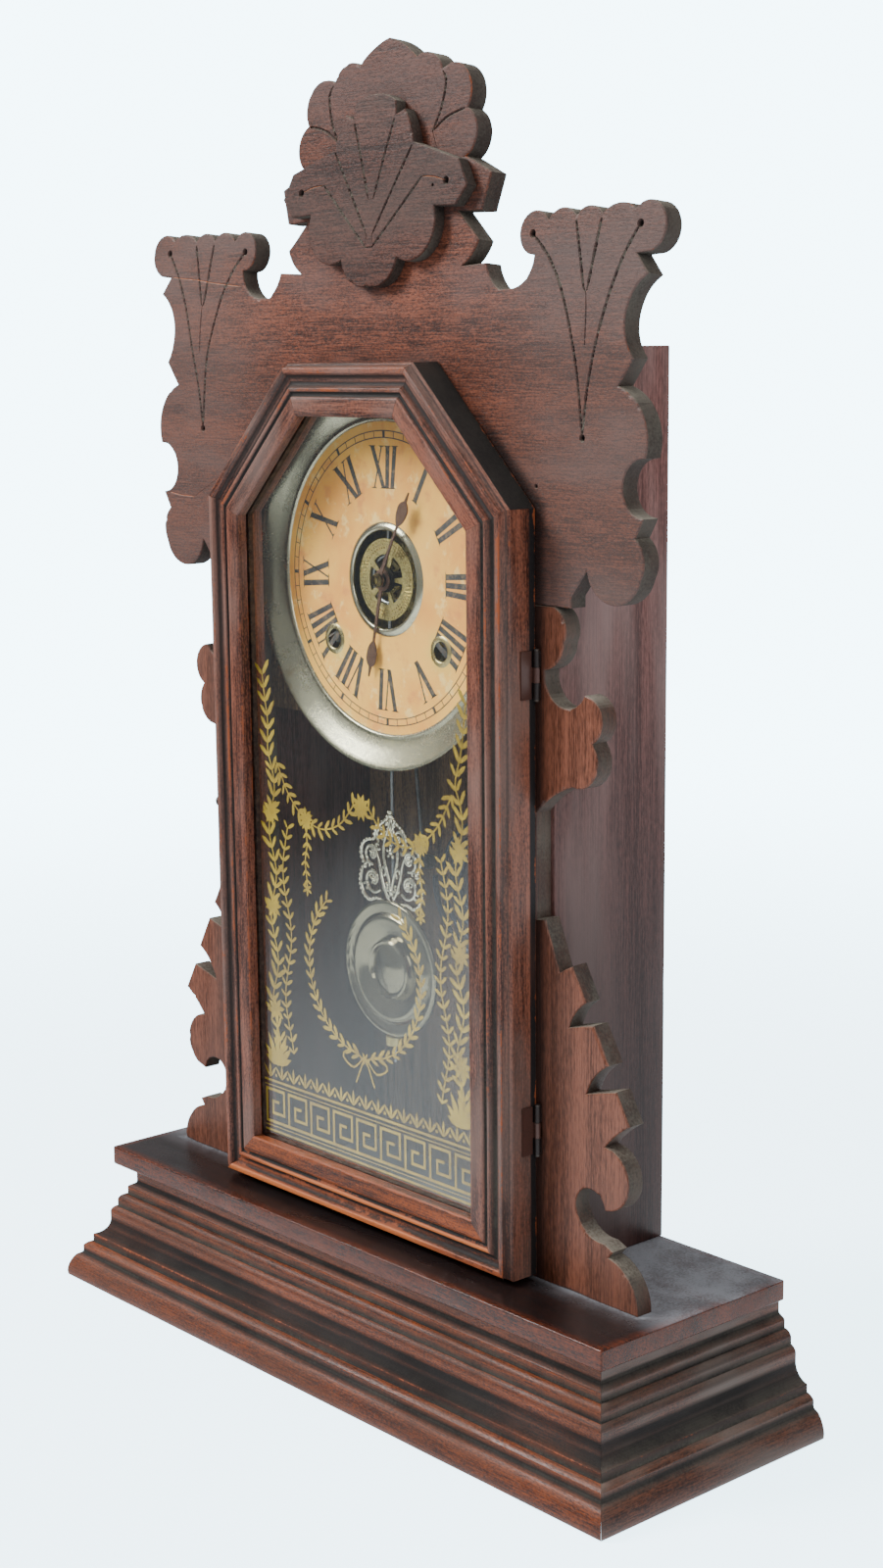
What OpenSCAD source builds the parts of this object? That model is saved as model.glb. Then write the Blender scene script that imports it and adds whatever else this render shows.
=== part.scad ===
// Shelf clock with a scroll-sawn front board, a moulded base and an eight-sided glazed door.
// Millimetres. +Z up, the front faces -Y, the origin is the bottom centre of the bounding box.

/* [Base] */
// Width of the flat board on top of the base
slab_w = 329.3; // [322:0.1:340]
// Depth of the flat board on top of the base
slab_d = 105.5; // [102:0.1:108]
// Thickness of the flat board on top of the base
slab_t = 8.8; // [6:0.1:11]
// Height of the base, floor to the top of the flat board
base_h = 65.7; // [63:0.1:68]
// How far the foot of the base moulding stands out past the flat board
base_reach = 17.6; // [15:0.1:20]
// How far the base moulding runs on behind the flat board
base_tail = 6; // [0:0.5:8]

/* [Case] */
// Outer width of the case
case_w = 192.8; // [190:0.1:194]
// Height of the top of the case above the floor
case_top_z = 438.3; // [437:0.1:442]
// Thickness of the case sides and top
wall = 9; // [7:0.5:10]
// Thickness of the back board
back_t = 5; // [3:0.5:6]

/* [Front board] */
// Thickness of the sawn front boards
board_t = 8.5; // [7:0.1:10]
// Height of the tip of the crest above the floor
total_h = 560; // [555:1:566]
// How far the crest leans back above the case, in degrees
crest_lean = 4.7; // [0:0.1:6]
// Height of the joint between the upper board and the two lower boards
joint_z = 340.6; // [338:0.1:343]
// Thickness of the raised shield on the crest
shield_t = 5.5; // [4:0.5:8]

/* [Door] */
// Width of the door
door_w = 190; // [188:0.2:191]
// Height of the bottom edge of the door above the base
door_gap = 1.7; // [1:0.1:3]
// Height of the top edge of the door above the floor
door_top_z = 433; // [430:0.5:434]
// Width of the door frame, outer edge to the glass
frame_w = 21.8; // [21.5:0.1:23]
// Thickness of the door
door_t = 17.5; // [17:0.1:19]
// Clearance between the door and the front board
door_clear = 0.3; // [0.2:0.05:0.6]
// How far the door opens, in degrees
door_open = 100; // [80:1:100]
// Thickness of the glass
glass_t = 2; // [1.6:0.1:2.4]

/* [Dial] */
// Height of the middle of the dial above the floor
dial_z = 344.3; // [343:0.1:346]
// Radius of the paper dial
paper_r = 65; // [63:0.5:66]
// Width of the flared rim of the dial pan, outside the paper
rim_w = 14.6; // [13.5:0.1:14.8]
// Sideways distance of each winding hole from the middle of the dial
wind_x = 34.3; // [34:0.1:36]
// Distance of the winding holes below the middle of the dial
wind_drop = 27.3; // [27:0.1:29]
// Length of the minute hand
minute_len = 41.6; // [38:0.2:57]
// Length of the hour hand
hour_len = 42.3; // [36:0.2:43]
// Clockwise angle of the minute hand from twelve
minute_at = 28.4; // [0:0.1:359]
// Clockwise angle of the hour hand from twelve
hour_at = 193.3; // [0:0.1:359]

/* [Pendulum] */
// Height of the pendulum's pivot above the floor
hang_z = 402; // [401:0.5:404]
// Height of the middle of the bob above the floor
bob_z = 177.5; // [174:0.5:182]
// Radius of the bob
bob_r = 30; // [27:0.5:31]

/* [Movement] */
// Gap between the two movement plates
plates_gap = 31.4; // [31:0.1:33]
// Thickness of the movement plates
plate_t = 1.6; // [1.4:0.1:2]
// Radius of the arbors
arbor_r = 1.2; // [1:0.1:1.3]
// Clearance round a turning arbor
run_clear = 0.1; // [0.08:0.01:0.15]
// Clearance between the tips of a wheel and its pinion
mesh_clear = 0.3; // [0.2:0.05:0.4]

/* [Hidden] */

eps = 0.01;
slab_x = slab_w / 2;
slab_z0 = base_h - slab_t;
base_depth = base_reach + slab_d + base_tail;
base_front = -base_depth / 2;
base_back = base_depth / 2;
slab_front = base_front + base_reach;
slab_back = slab_front + slab_d;
mould_in = 26;
case_x = case_w / 2;
case_back = slab_back;
door_face = slab_front + 15.4;
door_back = door_face + door_t;
board_front = door_back + door_clear;
board_back = board_front + board_t;
pan_r = paper_r + rim_w;
opening_x = pan_r + 0.9;
opening_top_z = dial_z + pan_r + 0.6;
opening_diag = dial_z + (pan_r + 0.45) * sqrt(2);
door_x = door_w / 2;
door_z0 = base_h + door_gap;
door_diag = 472.8;
glass_front = door_face + 5.6;
glass_u = frame_w - 3;
paper_t = 0.3;
dial_front = board_front + 5.6;
paper_front = dial_front - paper_t;
sheet_t = 0.5;
centre_hole_r = 21;
wind_hole_r = 4.4;
ring_h = 1.3;
wind_z = dial_z - wind_drop;
front_plate_y = board_back + 12.3;
plates_y0 = front_plate_y + plate_t;
plates_y1 = plates_y0 + plates_gap;
plates_back = plates_y1 + plate_t;
backboard_y = case_back - back_t;
rod_y = board_front + 7.3;
rod_r = 0.8;
hinge_x = door_x + 1.9;
hinge_y = board_front - 1.6;
barrel_r = 1.3;
hinge_pin_r = 0.6;
hinge_zs = [[119.6, 139.6], [304.4, 323.2]];
leaf_t = 0.7;

// ---- arcs and outlines ----
// An outline is a list of [x, z] or [x, z, swell]: swell is how far the way to that
// point swells to the right of the straight line, and a negative one swells to the left.
arc_steps = 10;
function arc_to(a, b, s) =
    let (d = norm(b - a), k = 2 * s / d, turn = 4 * atan(k), m = (a + b) / 2)
    let (c = m + [a.y - b.y, b.x - a.x] * (1 - k * k) / (4 * k))
    let (r = norm(a - c), t0 = atan2(a.y - c.y, a.x - c.x))
    [for (i = [1:arc_steps]) c + r * [cos(t0 + turn * i / arc_steps), sin(t0 + turn * i / arc_steps)]];
function outline(p) =
    [for (i = [0:len(p) - 1])
        let (q = [p[i].x, p[i].y], o = p[(i + len(p) - 1) % len(p)], s = p[i][2])
        each (s == undef ? [q] : arc_to([o.x, o.y], q, s))];
function mirrored(p) = [for (i = [len(p) - 1:-1:0]) if (abs(p[i].x) > eps) [-p[i].x, p[i].y]];
function both_sides(p) = concat(p, mirrored(p));

// A flat piece in the XZ plane, from y to y + t.
module flat_piece(points, y, t) {
    translate([0, y + t, 0]) rotate([90, 0, 0]) linear_extrude(t) polygon(points);
}
// A disc or rod along Y, from y to y + t.
module disc(x, z, y, t, r) {
    translate([x, y + t, z]) rotate([90, 0, 0]) cylinder(h = t, r = r, $fn = 64);
}
module box(x0, x1, y0, y1, z0, z1) {
    translate([x0, y0, z0]) cube([x1 - x0, y1 - y0, z1 - z0]);
}
// A turned piece round a line along Y: profile points are [radius, y].
module turned(x, z, profile) {
    translate([x, 0, z]) rotate([-90, 0, 0]) rotate_extrude($fn = 128) polygon(profile);
}
module both() {
    children();
    mirror([1, 0, 0]) children();
}

// ---- base ----
function base_profile() = outline([
    [-mould_in, 0], [base_reach - 0.3, 0], [base_reach, 2.3], [14.2, 10.8, 0.7],
    [11.7, 12.2], [11.7, 15.4], [8.1, 17.8, 0.4], [8.1, 21.2],
    [1.8, 29.7, -1.9], [1.8, 33.1], [-0.8, 36, 0.5], [-0.8, 38.9],
    [-4.4, 42, 0.8], [-4.4, 45.8], [-7.7, 47.7], [-7.7, slab_z0], [-mould_in, slab_z0]]);
side_in = slab_x - mould_in;
module base_moulding_front() color("#4a251a") {
    p = base_profile();
    far = slab_x + base_reach;
    intersection() {
        translate([-far, 0, 0]) rotate([90, 0, 90]) linear_extrude(2 * far)
            polygon([for (i = p) [slab_front - i.x, i.y]]);
        linear_extrude(slab_z0) polygon([[-far, base_front], [far, base_front],
            [side_in, slab_front + mould_in], [-side_in, slab_front + mould_in]]);
    }
}
module base_side() color("#4a251a") {
    p = base_profile();
    far = slab_x + base_reach;
    intersection() {
        translate([0, base_back, 0]) rotate([90, 0, 0]) linear_extrude(base_depth)
            polygon([for (i = p) [slab_x + i.x, i.y]]);
        linear_extrude(slab_z0) polygon([[side_in, slab_front + mould_in], [far, base_front],
            [far, base_back], [side_in, base_back]]);
    }
}
module base_moulding_right() base_side();
module base_moulding_left() mirror([1, 0, 0]) base_side();
module base_back_rail() color("#3a241a") {
    rail_t = 12;
    box(-side_in, side_in, slab_back - rail_t, slab_back, 0, slab_z0);
}
module base_top_board() color("#2e1b16") {
    box(-slab_x, slab_x, slab_front, slab_back, slab_z0, base_h);
}

// ---- case ----
module case_side() color("#4c2c27") {
    box(case_x - wall, case_x, board_back, case_back, base_h, case_top_z);
}
module case_side_right() case_side();
module case_side_left() mirror([1, 0, 0]) case_side();
module case_top() color("#4c2c27") {
    box(wall - case_x, case_x - wall, board_back, case_back, case_top_z - wall, case_top_z);
}
module back_board() color("#5a4230") difference() {
    box(wall - case_x, case_x - wall, backboard_y, case_back, base_h, case_top_z - wall);
    foot_screws(backboard_y - 1, 0);
}

// ---- front boards ----
apex = case_top_z + (total_h - case_top_z) / cos(crest_lean);
function crest_side() = outline([
    [113.7, joint_z], [113.7, 345], [122.3, 355.3], [150.4, 353.6, 11.4],
    [147.3, 368.6, 3], [151.5, 375.8], [152.4, 397.8, -11.2], [138.4, 423.7, 6.2],
    [145.8, 433.6], [151.3, 463.7, -7.5], [144.9, 470.9], [148.3, 471.2],
    [142.9, 486.9, 13.4], [126.3, 485.9, 3], [112.6, 485.8, 3.3], [98, 484.7, 3.8],
    [91.2, 472.1, 12.5], [77, 460.2, -3.9], [72.5, 460], [64.5, 470.3, -1.3],
    [50.5, 469.6], [59.6, 479.3, 1.2], [46.9, 490.7], [60.5, 490.3], [64.9, 504.4],
    [50.3, 511.2], [49.5, 529.5, 5.6], [33.3, 545.7, 8.9], [17.4, 551.4, 3.8], [0, apex, 1.2]]);
opening_points = both_sides([[opening_x, joint_z - 1], [opening_x, opening_diag - opening_x],
    [opening_diag - opening_top_z, opening_top_z]]);
module leaned() {
    translate([0, board_front, case_top_z]) rotate([-crest_lean, 0, 0])
        translate([0, -board_front, -case_top_z]) children();
}
module crest_board() color("#5e3b31") {
    points = both_sides(crest_side());
    big = 200;
    difference() {
        flat_piece(points, board_front, board_t);
        box(-big, big, board_front - 1, board_back + 1, case_top_z, case_top_z + big);
        flat_piece(opening_points, board_front - 1, board_t + 2);
    }
    leaned() difference() {
        flat_piece(points, board_front, board_t);
        box(-big, big, board_front - 1, board_back + 1, case_top_z - big, case_top_z);
    }
}
function lower_side() = outline([
    [opening_x, base_h], [151.2, base_h], [135.3, 85.8, 4.6], [137.8, 88.8], [132.8, 90.9],
    [116.6, 102.5, -4], [133.5, 104.7, -8], [133, 131, 12.7], [146.3, 142.2, -0.8],
    [139.1, 154.7], [122.7, 150.4], [134.9, 164.4, -1.8], [126.6, 179], [113, 175.4],
    [122.3, 187.2, -1.4], [114.7, 200.8], [107.6, 196.6], [99.4, 217], [94.6, 216.2],
    [94.6, 259], [114.4, 271.7, -1.5], [125.4, 289.7, 8], [121.6, 308, 7.2],
    [99.4, 315.8, -9.8], [109.7, 326.8, 2.6], [105, joint_z, 3.2], [opening_x, joint_z]]);
module front_board_right() color("#5c2f20") {
    difference() {
        flat_piece(lower_side(), board_front, board_t);
        for (z = hinge_zs) box(88, hinge_x + 0.7, board_front - 1, board_front + leaf_t, z[0], z[1]);
    }
}
module front_board_left() color("#5c2f20") {
    mirror([1, 0, 0]) flat_piece(lower_side(), board_front, board_t);
}
function shield_side() = outline([
    [17.5, 473.3], [38.7, 492.4, 9.6], [51, 492], [57.5, 499.4], [51.5, 509.6], [24.6, 517.6],
    [18.3, 530.8, 0.8], [13.2, 529], [12.6, 534.4], [0, 537.8, 1]]);
module crest_shield() color("#57372e") {
    bottom = outline([[0, 462.8], [17.5, 473.3, 4.2]]);
    points = both_sides(concat([bottom[0]], [for (i = [1:len(bottom) - 1]) bottom[i]],
        [for (i = [1:len(shield_side()) - 1]) shield_side()[i]]));
    leaned() flat_piece(points, board_front - shield_t, shield_t);
}

// ---- dial ----
cleat_in = 43;
cleat_z0 = 283;
cleat_z1 = 405;
foot_ring = paper_r + 2.6;
dial_back = dial_front + sheet_t;
module pan_feet(y, t) {
    for (a = [40, 140, 220, 320]) disc(foot_ring * cos(a), dial_z + foot_ring * sin(a), y, t, 0.8);
}
module dial_cleats() color("#6b4a35") difference() {
    x = opening_x - 0.3;
    d = opening_diag - 0.5;
    both() {
        flat_piece([[cleat_in, cleat_z0], [x, cleat_z0], [x, d - x], [d - cleat_z1, cleat_z1], [cleat_in, cleat_z1]],
            dial_back, board_back - dial_back);
        box(cleat_in, case_x - wall, board_back, board_back + 4.6, cleat_z0, cleat_z1);
    }
    pan_feet(dial_back - 1, 6);
}
module wind_holes(r) {
    for (s = [-1, 1]) disc(s * wind_x, wind_z, dial_front - 5, 10, r);
}
module dial_pan() color("#a9a99a") {
    rim_y = board_front;
    bead_y = dial_front - 2.3;
    bead_r = paper_r + 2.6;
    flare_r = bead_r + 3;
    half_r = (flare_r + pan_r) / 2;
    half_y = (dial_front + rim_y) / 2;
    difference() {
        turned(0, dial_z, [[centre_hole_r, dial_front], [paper_r + 0.2, dial_front],
            [bead_r - 1.4, bead_y + 0.5], [bead_r, bead_y], [bead_r + 1.6, bead_y + 0.3],
            [flare_r, dial_front - 0.6], [half_r, half_y], [pan_r - 1, rim_y], [pan_r, rim_y],
            [pan_r, rim_y + 1], [pan_r - 0.7, rim_y + 0.7], [half_r + 0.2, half_y + 0.6],
            [flare_r + 0.3, dial_front], [flare_r + 0.3, dial_back], [centre_hole_r, dial_back]]);
        wind_holes(wind_hole_r);
    }
}
module dial_paper() color("#e9bd8b") difference() {
    disc(0, dial_z, paper_front, paper_t, paper_r);
    disc(0, dial_z, paper_front - 1, 3, centre_hole_r + 1);
    wind_holes(wind_hole_r + 0.2);
}
module dial_rings() color("#b9b9ae") {
    r = centre_hole_r;
    w = wind_hole_r;
    turned(0, dial_z, [[r - 0.6, dial_front], [r - 0.6, paper_front - 0.7], [r + 0.4, paper_front - ring_h],
        [r + 2, paper_front - 0.9], [r + 3.2, paper_front], [r + 1, paper_front], [r + 1, dial_front]]);
    for (s = [-1, 1]) turned(s * wind_x, wind_z, [[w - 0.5, dial_front], [w - 0.5, paper_front - 0.5],
        [w + 0.1, paper_front - 0.9], [w + 1.5, paper_front], [w + 0.1, paper_front], [w + 0.1, dial_front]]);
}
module dial_feet() color("#8f8a7c") pan_feet(dial_back, 5);

// ---- door ----
// Corners of the door's outline u inside its outer edge, counter-clockwise from bottom right.
function door_corners(u) =
    let (x = door_x - u, z1 = door_top_z - u, d = door_diag - u * sqrt(2))
    let (right = [[x, door_z0 + u], [x, d - x], [d - z1, z1]])
    concat(right, mirrored(right));
// The frame's section as [y, distance in from the outer edge].
function frame_section() = [for (p = outline([
    [door_t, 0], [4.6, 0], [3.4, 0.9, -0.2], [0.2, 2, 0.2], [0, 2.4], [0, 4.2], [1.3, 5],
    [2.7, 7.2, 0.5], [1.9, 9.4, 0.5], [0.6, 10.2], [0.6, 11.5], [1.8, 12.1], [1.8, 13.2],
    [0.5, 14], [0.3, 15], [0.3, 20.8], [0.9, frame_w], [5.6, frame_w], [5.6, glass_u],
    [door_t, glass_u]])) [door_face + p.x, p.y]];
module door_member(i) color("#5a2e22") {
    outer = door_corners(0);
    inner = door_corners(frame_w);
    j = (i + 1) % 6;
    way = outer[j] - outer[i];
    turn = atan2(way.y, way.x);
    run = 30;
    intersection() {
        translate([outer[i].x, 0, outer[i].y]) rotate([0, -turn, 0]) translate([-run, 0, 0])
            rotate([90, 0, 90]) linear_extrude(norm(way) + 2 * run) polygon(frame_section());
        flat_piece([outer[i], outer[j], inner[j], inner[i]], door_face - 1, door_t + 2);
    }
}
module door_stile_right() door_member(0);
module door_corner_right() door_member(1);
module door_top_rail() door_member(2);
module door_corner_left() door_member(3);
module door_stile_left() difference() {
    door_member(4);
    translate([-door_x - 1, knob_y, knob_z]) rotate([0, 90, 0]) cylinder(h = 7, r = 1.2, $fn = 32);
}
module door_bottom_rail() door_member(5);
module door_glass() color([0.8, 0.85, 0.85, 0.35]) {
    flat_piece(door_corners(glass_u), glass_front, glass_t);
}
module glass_putty() color("#2b211c") difference() {
    flat_piece(door_corners(glass_u), glass_front + glass_t, 2.4);
    flat_piece(door_corners(frame_w), glass_front + glass_t - 1, 5);
}
knob_y = door_face + 7.6;
knob_z = 239.5;
module door_knob() color("#4a4a48") {
    translate([-door_x + 6, knob_y, knob_z]) rotate([0, -90, 0])
        rotate_extrude($fn = 48) polygon([[0, 0], [1.2, 0], [1.2, 8], [2.4, 10.5], [2.5, 12],
            [1.7, 13.2], [0, 13.6]]);
}
// Hinges: the knuckles are stacked case, door, case.
function knuckle(z, i) = [z[0] + (z[1] - z[0]) * i / 3, z[0] + (z[1] - z[0]) * (i + 1) / 3];
module knuckle_bore(z) {
    translate([hinge_x, hinge_y, z[0] - 1]) cylinder(h = z[1] - z[0] + 2, r = hinge_pin_r + 0.05, $fn = 32);
}
module hinge_case_leaves() color("#4d4944") for (z = hinge_zs) difference() {
    union() {
        box(88, hinge_x + 0.7, board_front, board_front + leaf_t, z[0], z[1]);
        for (i = [0, 2]) {
            k = knuckle(z, i);
            translate([hinge_x, hinge_y, k[0]]) cylinder(h = k[1] - k[0], r = barrel_r, $fn = 48);
            box(hinge_x - 0.7, hinge_x + 0.7, hinge_y, board_front + leaf_t, k[0], k[1]);
        }
    }
    knuckle_bore(z);
}
module hinge_door_leaves() color("#4d4944") for (z = hinge_zs) difference() {
    k = knuckle(z, 1);
    gap = 0.15;
    union() {
        box(door_x, door_x + leaf_t, hinge_y - 7, hinge_y - barrel_r - 0.3, z[0], z[1]);
        box(door_x, door_x + leaf_t, hinge_y - 3, hinge_y, k[0] + gap, k[1] - gap);
        box(door_x, hinge_x, hinge_y - 0.4, hinge_y + 0.4, k[0] + gap, k[1] - gap);
        translate([hinge_x, hinge_y, k[0] + gap]) cylinder(h = k[1] - k[0] - 2 * gap, r = barrel_r, $fn = 48);
    }
    knuckle_bore(z);
}
module hinge_pins() color("#6a655c") for (z = hinge_zs) {
    translate([hinge_x, hinge_y, z[0]]) cylinder(h = z[1] - z[0], r = hinge_pin_r, $fn = 32);
    for (e = [z[0] - 0.8, z[1]]) translate([hinge_x, hinge_y, e]) cylinder(h = 0.8, r = 1.1, $fn = 32);
}

// ---- movement: plates ----
second_at = [26.5, 346.5];
centre_at = [0, dial_z];
third_at = [14, 366];
escape_at = [0, 380];
verge_at = [0, 396.5];
time_at = [wind_x, wind_z];
strike_at = [-wind_x, wind_z];
strike_second_at = [-26.5, 346.5];
hammer_at = [-54, 345];
wind_arbor_r = 2.6;
pillar_at = [[56.5, 294.5], [-56.5, 294.5], [38, 399], [-38, 399]];
plate_points = [[60, 290], [60, 335], [44, 405], [-44, 405], [-60, 335], [-60, 290]];
module plate(y) difference() {
    flat_piece(plate_points, y, plate_t);
    for (s = [-1, 1]) {
        disc(s * wind_x, wind_z, y - 1, plate_t + 2, wind_arbor_r + run_clear);
        disc(s * 12, 308, y - 1, plate_t + 2, 9);
        disc(s * 47, 352, y - 1, plate_t + 2, 6);
    }
    for (p = [second_at, third_at, escape_at, strike_second_at, hammer_at])
        disc(p.x, p.y, y - 1, plate_t + 2, arbor_r + run_clear);
    disc(0, dial_z, y - 1, plate_t + 2, arbor_r + 0.3 + run_clear);
}
module front_plate() color("#a8935a") {
    difference() {
        plate(front_plate_y);
        for (p = pillar_at) disc(p.x, p.y, front_plate_y - 1, plate_t + 2, 1.5);
    }
    disc(motion_at.x, motion_at.y, hour_wheel_y - 1.2, front_plate_y - hour_wheel_y + 1.2 + eps, 0.9);
}
module back_plate() color("#a8935a") plate(plates_y1);
module plate_pillars() color("#8f8f8a") for (p = pillar_at) {
    disc(p.x, p.y, plates_y0, plates_gap, 2.5);
    disc(p.x, p.y, front_plate_y - 2.4, plate_t + 2.4 + eps, 1.5);
}
module pillar_nuts() color("#77736a") for (p = pillar_at) difference() {
    translate([p.x, front_plate_y, p.y]) rotate([90, 0, 0]) cylinder(h = 2, r = 3.2, $fn = 6);
    disc(p.x, p.y, front_plate_y - 3, 4, 1.5);
}
foot_at = [[40, 300], [-40, 300], [40, 385], [-40, 385]];
foot_hole = 10.5;
module foot_screws(y, head_r) for (p = foot_at) {
    disc(p.x, p.y + foot_hole, y, 4.6, 1.6);
    if (head_r > 0) disc(p.x, p.y + foot_hole, y - 1.6, 1.6, head_r);
}
module movement_feet() color("#6f6b62") for (p = foot_at) {
    box(p.x - 5, p.x + 5, plates_back, plates_back + 1.4, p.y - 5, p.y + 5);
    box(p.x - 5, p.x + 5, plates_back, backboard_y, p.y + 3.6, p.y + 5);
    difference() {
        box(p.x - 5, p.x + 5, backboard_y - 1.4, backboard_y, p.y + 3.6, p.y + 16);
        disc(p.x, p.y + foot_hole, backboard_y - 3, 5, 1.6);
    }
}
module feet_screws() color("#8b867a") foot_screws(backboard_y - 1.4, 3);
// A coiled band or wire: half rings that grow, with their centres shifted by turns.
module coil(x, z, y, r0, step, halves) {
    for (i = [0:halves - 1])
        translate([x + (i % 2) * step, y, z]) rotate([-90, 0, 0]) rotate([0, 0, 180 * (i % 2)])
            rotate_extrude(angle = 180, $fn = 96) translate([r0 + i * step, 0]) children();
}
spring_y = plates_y0 + 3;
module mainsprings() color("#5c6068") for (s = [-1, 1]) {
    coil(s * wind_x, wind_z, spring_y, 3.3, 1.05, 15) square([0.6, 16]);
}

// ---- movement: wheels ----
// A wheel with teeth, rim, hub and arms, from y to y + t.
module wheel(at, y, t, r, teeth, arms = 5) {
    depth = 1.3;
    pitch = 360 / teeth;
    points = [for (i = [0:teeth - 1], k = [[-0.25, -depth], [-0.14, 0], [0.14, 0], [0.25, -depth]])
        (r + k[1]) * [cos((i + k[0]) * pitch), sin((i + k[0]) * pitch)]];
    translate([at.x, y + t, at.y]) rotate([90, 0, 0]) {
        difference() {
            linear_extrude(t) polygon(points);
            translate([0, 0, -1]) cylinder(h = t + 2, r = r - 3.4, $fn = 64);
        }
        cylinder(h = t, r = 3.6, $fn = 48);
        for (i = [0:arms - 1]) rotate([0, 0, i * 360 / arms])
            translate([2, -0.9, 0]) cube([r - 4.6, 1.8, t]);
    }
}
// A lantern pinion: two end discs and a ring of wires.
module lantern(at, y, length, r, wires) {
    end_t = 1;
    for (e = [y, y + length - end_t]) disc(at.x, at.y, e, end_t, r);
    for (i = [0:wires - 1])
        disc(at.x + (r - 0.6) * cos(i * 360 / wires), at.y + (r - 0.6) * sin(i * 360 / wires), y, length, 0.4);
}
module arbor(at) {
    disc(at.x, at.y, front_plate_y, plates_back - front_plate_y, arbor_r);
}
function gap_to(a, b, pinion) = norm(a - b) - pinion - mesh_clear;
great_pinion = 4.2;
great_y = plates_y0 + 25.4;
great_r = gap_to(time_at, second_at, great_pinion);
module great_wheel(at) color("#a78a45") difference() {
    union() {
        wheel(at, great_y, 2, great_r, 62, 5);
        box(at.x + 7.5, at.x + 12, great_y - 1.2, great_y + eps, at.y - 0.9, at.y + 0.9);
    }
    disc(at.x, at.y, great_y - 3, 8, wind_arbor_r + run_clear);
}
module time_great_wheel() great_wheel(time_at);
module strike_great_wheel() great_wheel(strike_at);
module winding_arbor(at) color("#70747a") {
    ratchet_y = great_y - 1.6;
    square_end = 3.4;
    disc(at.x, at.y, front_plate_y - 2, plates_back - front_plate_y + 2, wind_arbor_r);
    box(at.x - square_end / 2, at.x + square_end / 2, dial_front + 1.6, front_plate_y,
        at.y - square_end / 2, at.y + square_end / 2);
    translate([at.x, ratchet_y + 1.2, at.y]) rotate([90, 0, 0]) linear_extrude(1.2)
        polygon([for (i = [0:15], k = [[0, 7.2], [0.98, 5.8]]) k[1] * [cos((i + k[0]) * 22.5), sin((i + k[0]) * 22.5)]]);
}
module time_winding_arbor() winding_arbor(time_at);
module strike_winding_arbor() winding_arbor(strike_at);
centre_pinion = 5.4;
module time_second_wheel() color("#a78a45") {
    arbor(second_at);
    wheel(second_at, plates_y0 + 1.4, 1.2, gap_to(second_at, centre_at, centre_pinion), 72);
    lantern(second_at, great_y - 1, 4, great_pinion, 10);
}
module strike_second_wheel() color("#a78a45") {
    arbor(strike_second_at);
    wheel(strike_second_at, plates_y0 + 21.4, 1.2, 19, 66);
    lantern(strike_second_at, great_y - 1, 4, great_pinion, 10);
}
fine_pinion = 2.4;
module centre_arbor() color("#8d8468") {
    disc(0, dial_z, arbor_tip, plates_back - arbor_tip, arbor_r + 0.3);
    lantern(centre_at, front_plate_y - 3.2, 2.2, cannon_r, 12);
    lantern(centre_at, plates_y0 + 0.4, 3.2, centre_pinion, 12);
    wheel(centre_at, plates_y0 + 9, 1.2, gap_to(centre_at, third_at, fine_pinion), 78);
}
module time_third_wheel() color("#a78a45") {
    arbor(third_at);
    lantern(third_at, plates_y0 + 7.6, 4, fine_pinion, 7);
    wheel(third_at, plates_y0 + 15, 1.2, gap_to(third_at, escape_at, fine_pinion), 58);
}
escape_r = 12;
escape_y = front_plate_y - 6;
module escape_wheel() color("#b39a55") {
    disc(escape_at.x, escape_at.y, escape_y - 0.6, plates_back - escape_y + 0.6, arbor_r);
    lantern(escape_at, plates_y0 + 13.6, 4, fine_pinion, 7);
    wheel(escape_at, escape_y, 1, escape_r, 42, 4);
}
// The verge rocks on its pin, and its crutch holds the rod in a fork.
fork_z = 371;
crutch_y = rod_y + 4;
module verge() color("#6b6f75") {
    pad_y = escape_y - 0.2;
    translate([0, 0, verge_at.y]) flat_piece([[-8, -5.3], [-7, -5.5], [-6.4, -1.9], [-2.1, -1.9], [-2.1, 1.9],
        [-7, 0.5]], pad_y, 1.4);
    translate([0, 0, verge_at.y]) flat_piece([[8, -5.3], [7, -5.5], [6.4, -1.9], [2.1, -1.9], [2.1, 1.9],
        [7, 0.5]], pad_y, 1.4);
    difference() {
        union() {
            disc(0, verge_at.y, crutch_y, pad_y + 1.8 - crutch_y, 2.4);
            box(-0.7, 0.7, crutch_y, crutch_y + 1.4, fork_z, verge_at.y);
        }
        disc(0, verge_at.y, crutch_y - 1, 20, 1 + run_clear);
    }
    for (s = [-1, 1]) box(s * 1.7 - 0.5, s * 1.7 + 0.5, rod_y - 0.7, crutch_y + 1.4, fork_z - 0.8, fork_z + 0.8);
    box(-2.2, 2.2, crutch_y, crutch_y + 1.4, fork_z - 0.8, fork_z + 0.8);
}
module suspension_post() color("#8d8468") {
    difference() {
        disc(0, hang_z + 1, rod_y - 1, front_plate_y - rod_y + 1, 2);
        box(-0.25, 0.25, rod_y - 1.4, rod_y + 1.4, hang_z - 3, hang_z + 1);
    }
    disc(0, verge_at.y, crutch_y - 0.4, front_plate_y - crutch_y + 0.4, 1);
}

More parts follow.
